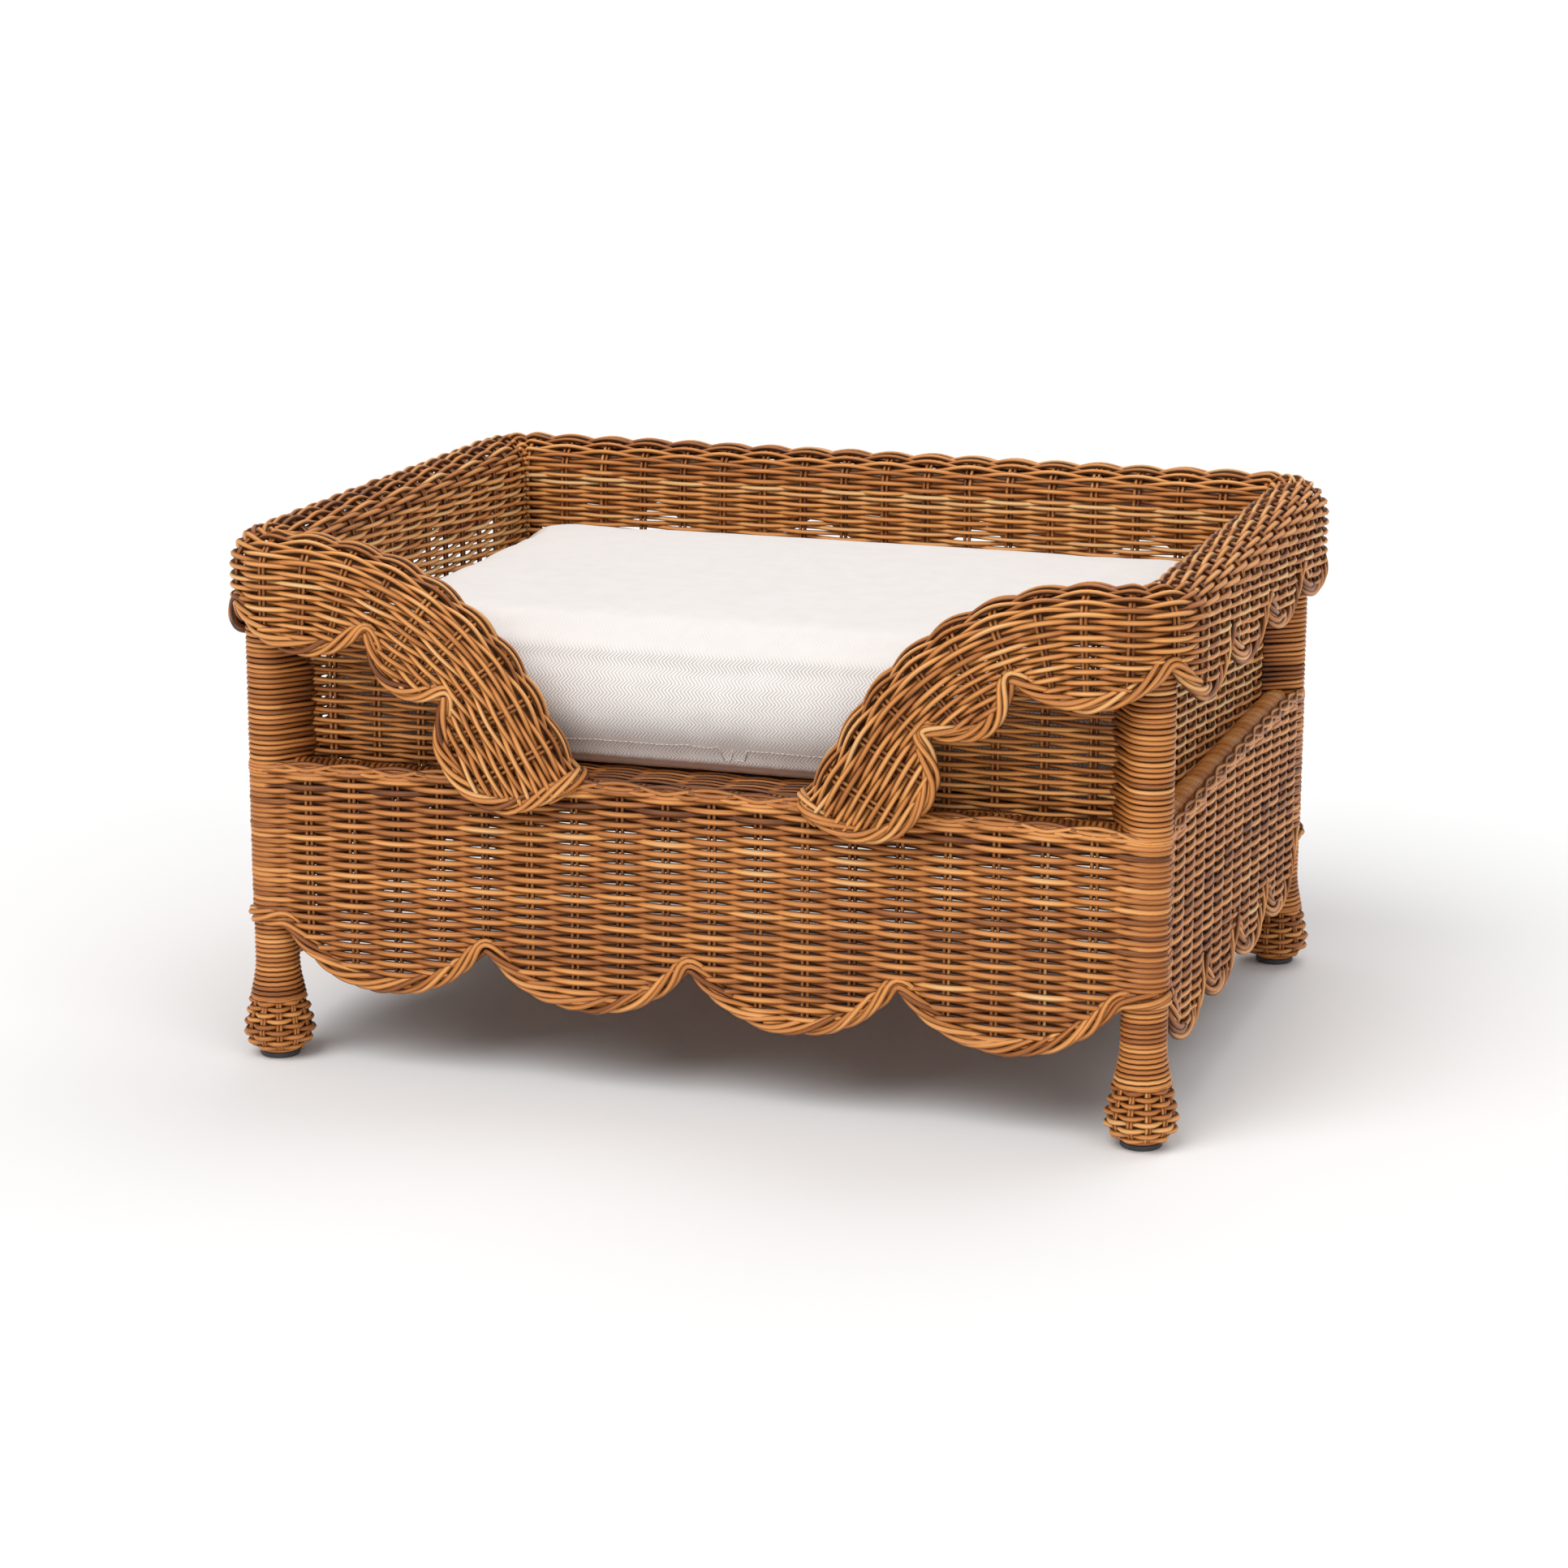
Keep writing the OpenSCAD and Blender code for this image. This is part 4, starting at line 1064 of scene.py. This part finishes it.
def shape_pad(place):
    """Crowns the top, keeps the underside flat and the sides clear of the walls."""
    half = np.array(PAD_HALF)
    rel = (place - np.array(PAD_MID)) / half
    fall = 1 - np.clip(np.abs(rel[:, :2]), 0, 1) ** CROWN_POWER
    crown = CROWN * fall[:, 0] * fall[:, 1]
    place[:, 2] += np.where(rel[:, 2] > 0, crown * smooth_step(rel[:, 2]), 0)
    place[:, 2] = np.maximum(place[:, 2], PAD_LO.z + 0.0003)
    limit = half[:2] + SIDE_SWELL
    place[:, :2] = np.clip(place[:, :2], -limit, limit)
    return place


# The zipper's groove: the level strip round the tape, the slope beside it, and their depths.
TAPE_MARGIN = 0.003
GROOVE_SLOPE = 0.012
TAPE_GAP = 0.0003
GROOVE_TOP = PAD_HI.y + 0.003


def zipper_groove(place):
    """Keeps the cover just behind the zipper's tape, which lies in a shallow groove."""
    tape_lo, tape_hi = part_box("zipper_tape")
    beyond = np.maximum(np.maximum(tape_lo.x - place[:, 0], place[:, 0] - tape_hi.x),
                        np.maximum(tape_lo.z - place[:, 2], place[:, 2] - tape_hi.z))
    climb = smooth_step((beyond - TAPE_MARGIN) / GROOVE_SLOPE)
    limit = tape_lo.y - TAPE_GAP + climb * (GROOVE_TOP - tape_lo.y)
    place[:, 1] = np.minimum(place[:, 1], limit)


SEAM_RISE = 0.006
SEAM_HALF, SEAM_DEPTH = 0.0024, 0.0011
PUCKER_HALF, PUCKER_DEPTH, PUCKER_RATE = 0.009, 0.0002, 480


def sew(mesh):
    """Pulls the cover in along the seam near its underside, with small puckers."""
    place = coords(mesh)
    normals = np.empty(len(place) * 3, np.float32)
    mesh.vertex_normals.foreach_get("vector", normals)
    normals = normals.reshape(-1, 3)
    upright = np.abs(normals[:, 2]) < 0.93
    around = np.where(np.abs(place[:, 0]) / PAD_HALF.x > np.abs(place[:, 1]) / PAD_HALF.y,
                      place[:, 1], place[:, 0])
    rise = place[:, 2] - PAD_LO.z - SEAM_RISE
    near = np.exp(-(rise / SEAM_HALF) ** 2) * upright
    pucker = np.exp(-(rise / PUCKER_HALF) ** 2) * np.sin(around * PUCKER_RATE) * upright
    place -= normals * (SEAM_DEPTH * near + PUCKER_DEPTH * pucker)[:, None]
    zipper_groove(place)
    set_coords(mesh, place)


def seam_points(tree, height, step):
    """Points of the cover's surface, and its normals, all round the cushion at one height."""
    corner, reach = 0.04, 0.02
    hx, hy = PAD_HALF.x - corner, PAD_HALF.y - corner
    path = []
    for cx, cy, start in ((hx, -hy, -90), (hx, hy, 0), (-hx, hy, 90), (-hx, -hy, 180)):
        for k in range(13):
            a = math.radians(start + 90 * k / 12)
            path.append((cx + (corner + reach) * math.cos(a), cy + (corner + reach) * math.sin(a)))
    path = np.array(path + path[:1])
    length = length_along(path)
    at = np.arange(0, length[-1], step)
    found = [tree.find_nearest(Vector((x, y, height))) for x, y in
             zip(np.interp(at, length, path[:, 0]), np.interp(at, length, path[:, 1]))]
    return np.array([f[0] for f in found]), np.array([f[1] for f in found])


def stitch(obj):
    """The seam's thread: a row of short stitches whose ends go into the cover."""
    tree = BVHTree.FromObject(obj, bpy.context.evaluated_depsgraph_get())
    strands = Strands()
    points, normals = seam_points(tree, PAD_LO.z + SEAM_RISE, 0.001)
    rise = np.array([-0.1, 0.2, 0.2, -0.1])[:, None] * MM
    for k in range(0, len(points) - 5, 4):
        faces = normals[k:k + 4]
        strands.add((points[k:k + 4] + faces * rise) / MM, faces, 0.4, 0.5, taper=False)
    mesh = make_mesh("cushion_stitches", strands)
    n = Nodes("cushion_thread")
    twist = n.noise(object_place(n), 2500.0, 2)
    tint = n.ramp(twist, [(0.3, (0.62, 0.56, 0.5)), (0.7, (0.84, 0.79, 0.74))])
    n.bump(twist, 0.4, 0.0001)
    thread = n.finish(base_color=tint, roughness=0.8)
    show("cushion_stitches", mesh, thread, [], "cushion")


def make_cushion():
    mesh, place = swell(pad_blank(), voxel=0.005, pressure=4.0, cap=0.012)
    place = shape_pad(place)
    set_coords(mesh, place)
    obj = show("cushion", mesh, fabric_material(),
               ["cushion_cover", "cushion_foam"], "cushion")
    smooth = obj.modifiers.new("subdivide", "SUBSURF")
    smooth.levels = smooth.render_levels = 1
    obj.data = evaluated(obj)
    obj.modifiers.clear()
    sew(obj.data)
    obj.data.shade_smooth()
    stitch(obj)


make_cushion()


# ---------- what keeps its CAD shape ----------

def metal_material(name, colour, rough):
    n = Nodes(name)
    scratch = n.noise(n.scaled(object_place(n), (400, 400, 90)), 6.0, 4, 0.7)
    tint = n.mix(scratch, (*[c * 0.72 for c in colour], 1), (*colour, 1))
    n.bump(scratch, 0.1, 0.0001)
    return n.finish(base_color=tint, metallic=1.0, roughness=n.plus(rough, (scratch, 0.25)))


def plastic_material():
    n = Nodes("glide_plastic_skin")
    grain = n.noise(object_place(n), 900.0, 3)
    tint = n.mix(grain, (0.03, 0.03, 0.033, 1), (0.075, 0.075, 0.08, 1))
    n.bump(grain, 0.25, 0.0002)
    return n.finish(base_color=tint, roughness=0.55)


def tape_material():
    n = Nodes("zipper_tape_skin")
    place = n.add("ShaderNodeSeparateXYZ", {"Vector": object_place(n)})
    rib = n.math("PINGPONG", n.math("FRACT", n.math("MULTIPLY", place.outputs["X"], 900.0)), 0.5)
    tint = n.ramp(rib, [(0.0, (0.62, 0.56, 0.48)), (0.5, (0.83, 0.78, 0.7))])
    n.bump(rib, 0.4, 0.0002)
    return n.finish(base_color=tint, roughness=0.85)


steel = metal_material("screw_steel_skin", (0.62, 0.6, 0.58), 0.3)
zip_metal = metal_material("zipper_metal_skin", (0.68, 0.68, 0.7), 0.22)
glide = plastic_material()
tape = tape_material()
SKINS = {"post_": pole, "seat_rail_": pole, "top_rail_": pole, "arm_rail_": pole, "deck_pole_": pole,
         "foot_glide_": glide, "frame_screws": steel, "zipper_tape": tape, "zipper_slider": zip_metal,
         "zipper_pull": zip_metal}
for name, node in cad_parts.items():
    for start, skin in SKINS.items():
        if name.startswith(start) and not node.hide_render:
            node.data.materials.clear()
            node.data.materials.append(skin)


# ---------- floor, light and camera ----------

def add_backdrop(radius):
    """A white dome far off, which is only there for the camera: it gives no light and no shadow."""
    bm = bmesh.new()
    bmesh.ops.create_icosphere(bm, subdivisions=4, radius=radius)
    mesh = bpy.data.meshes.new("backdrop")
    bm.to_mesh(mesh)
    bm.free()
    mesh.shade_smooth()
    dome = link_new("backdrop", mesh)
    for ray in ("diffuse", "glossy", "transmission", "volume_scatter", "shadow"):
        setattr(dome, "visible_" + ray, False)
    n = Nodes("backdrop_white")
    mesh.materials.append(n.finish(base_color=(0, 0, 0, 1), roughness=1.0, specular_ior_level=0.0,
                                   emission_color=(1, 1, 1, 1), emission_strength=1.0))


def add_floor(half):
    mesh = bpy.data.meshes.new("floor")
    corners = [(-half, -half, 0), (half, -half, 0), (half, half, 0), (-half, half, 0)]
    mesh.from_pydata(corners, [], [(0, 1, 2, 3)])
    link_new("floor", mesh)
    n = Nodes("floor_paper")
    mesh.materials.append(n.finish(base_color=(0.92, 0.92, 0.92, 1), roughness=0.9))


FLOOR_HALF = 40.0
WORLD_STRENGTH = 0.42
SUN_ANGLE = 0.8
# Each sun's name, the way to it over the floor, its height in degrees and its strength.
SUNS = [("key", (-0.35, -0.8), 50, 1.75), ("fill", (0.8, -0.6), 38, 0.52),
        ("back", (0.3, 0.9), 55, 0.75)]


def add_light():
    world = bpy.data.worlds.new("studio")
    bpy.context.scene.world = world
    world.use_nodes = True
    background = world.node_tree.nodes["Background"]
    background.inputs["Color"].default_value = (1, 1, 1, 1)
    background.inputs["Strength"].default_value = WORLD_STRENGTH
    for name, (x, y), height, power in SUNS:
        data = bpy.data.lights.new(name, "SUN")
        data.energy = power
        data.angle = SUN_ANGLE
        lamp = link_new(name, data)
        toward = Vector((x, y, math.hypot(x, y) * math.tan(math.radians(height))))
        lamp.rotation_euler = (-toward).to_track_quat("-Z", "Y").to_euler()


# The camera that was fitted to the photograph, in metres, radians and, for the lens, millimetres.
CAMERA_PLACE = (0.8941, -2.7802, 0.9000)
CAMERA_TURNS = (0.315, -0.242, 0.003)
CAMERA_LENS = 88.7


def add_camera():
    data = bpy.data.cameras.new("camera")
    data.sensor_width = 36
    data.lens = CAMERA_LENS
    camera = link_new("camera", data)
    bpy.context.scene.camera = camera
    yaw, pitch, roll = CAMERA_TURNS
    level = math.cos(pitch)
    look = Vector((-math.sin(yaw) * level, math.cos(yaw) * level, math.sin(pitch)))
    turn = look.to_track_quat("-Z", "Y").to_matrix().to_4x4() @ Matrix.Rotation(roll, 4, "Z")
    camera.matrix_world = Matrix.Translation(CAMERA_PLACE) @ turn


add_floor(FLOOR_HALF)
add_backdrop(FLOOR_HALF - 1)
add_light()
add_camera()
bpy.context.scene.view_settings.view_transform = "Standard"
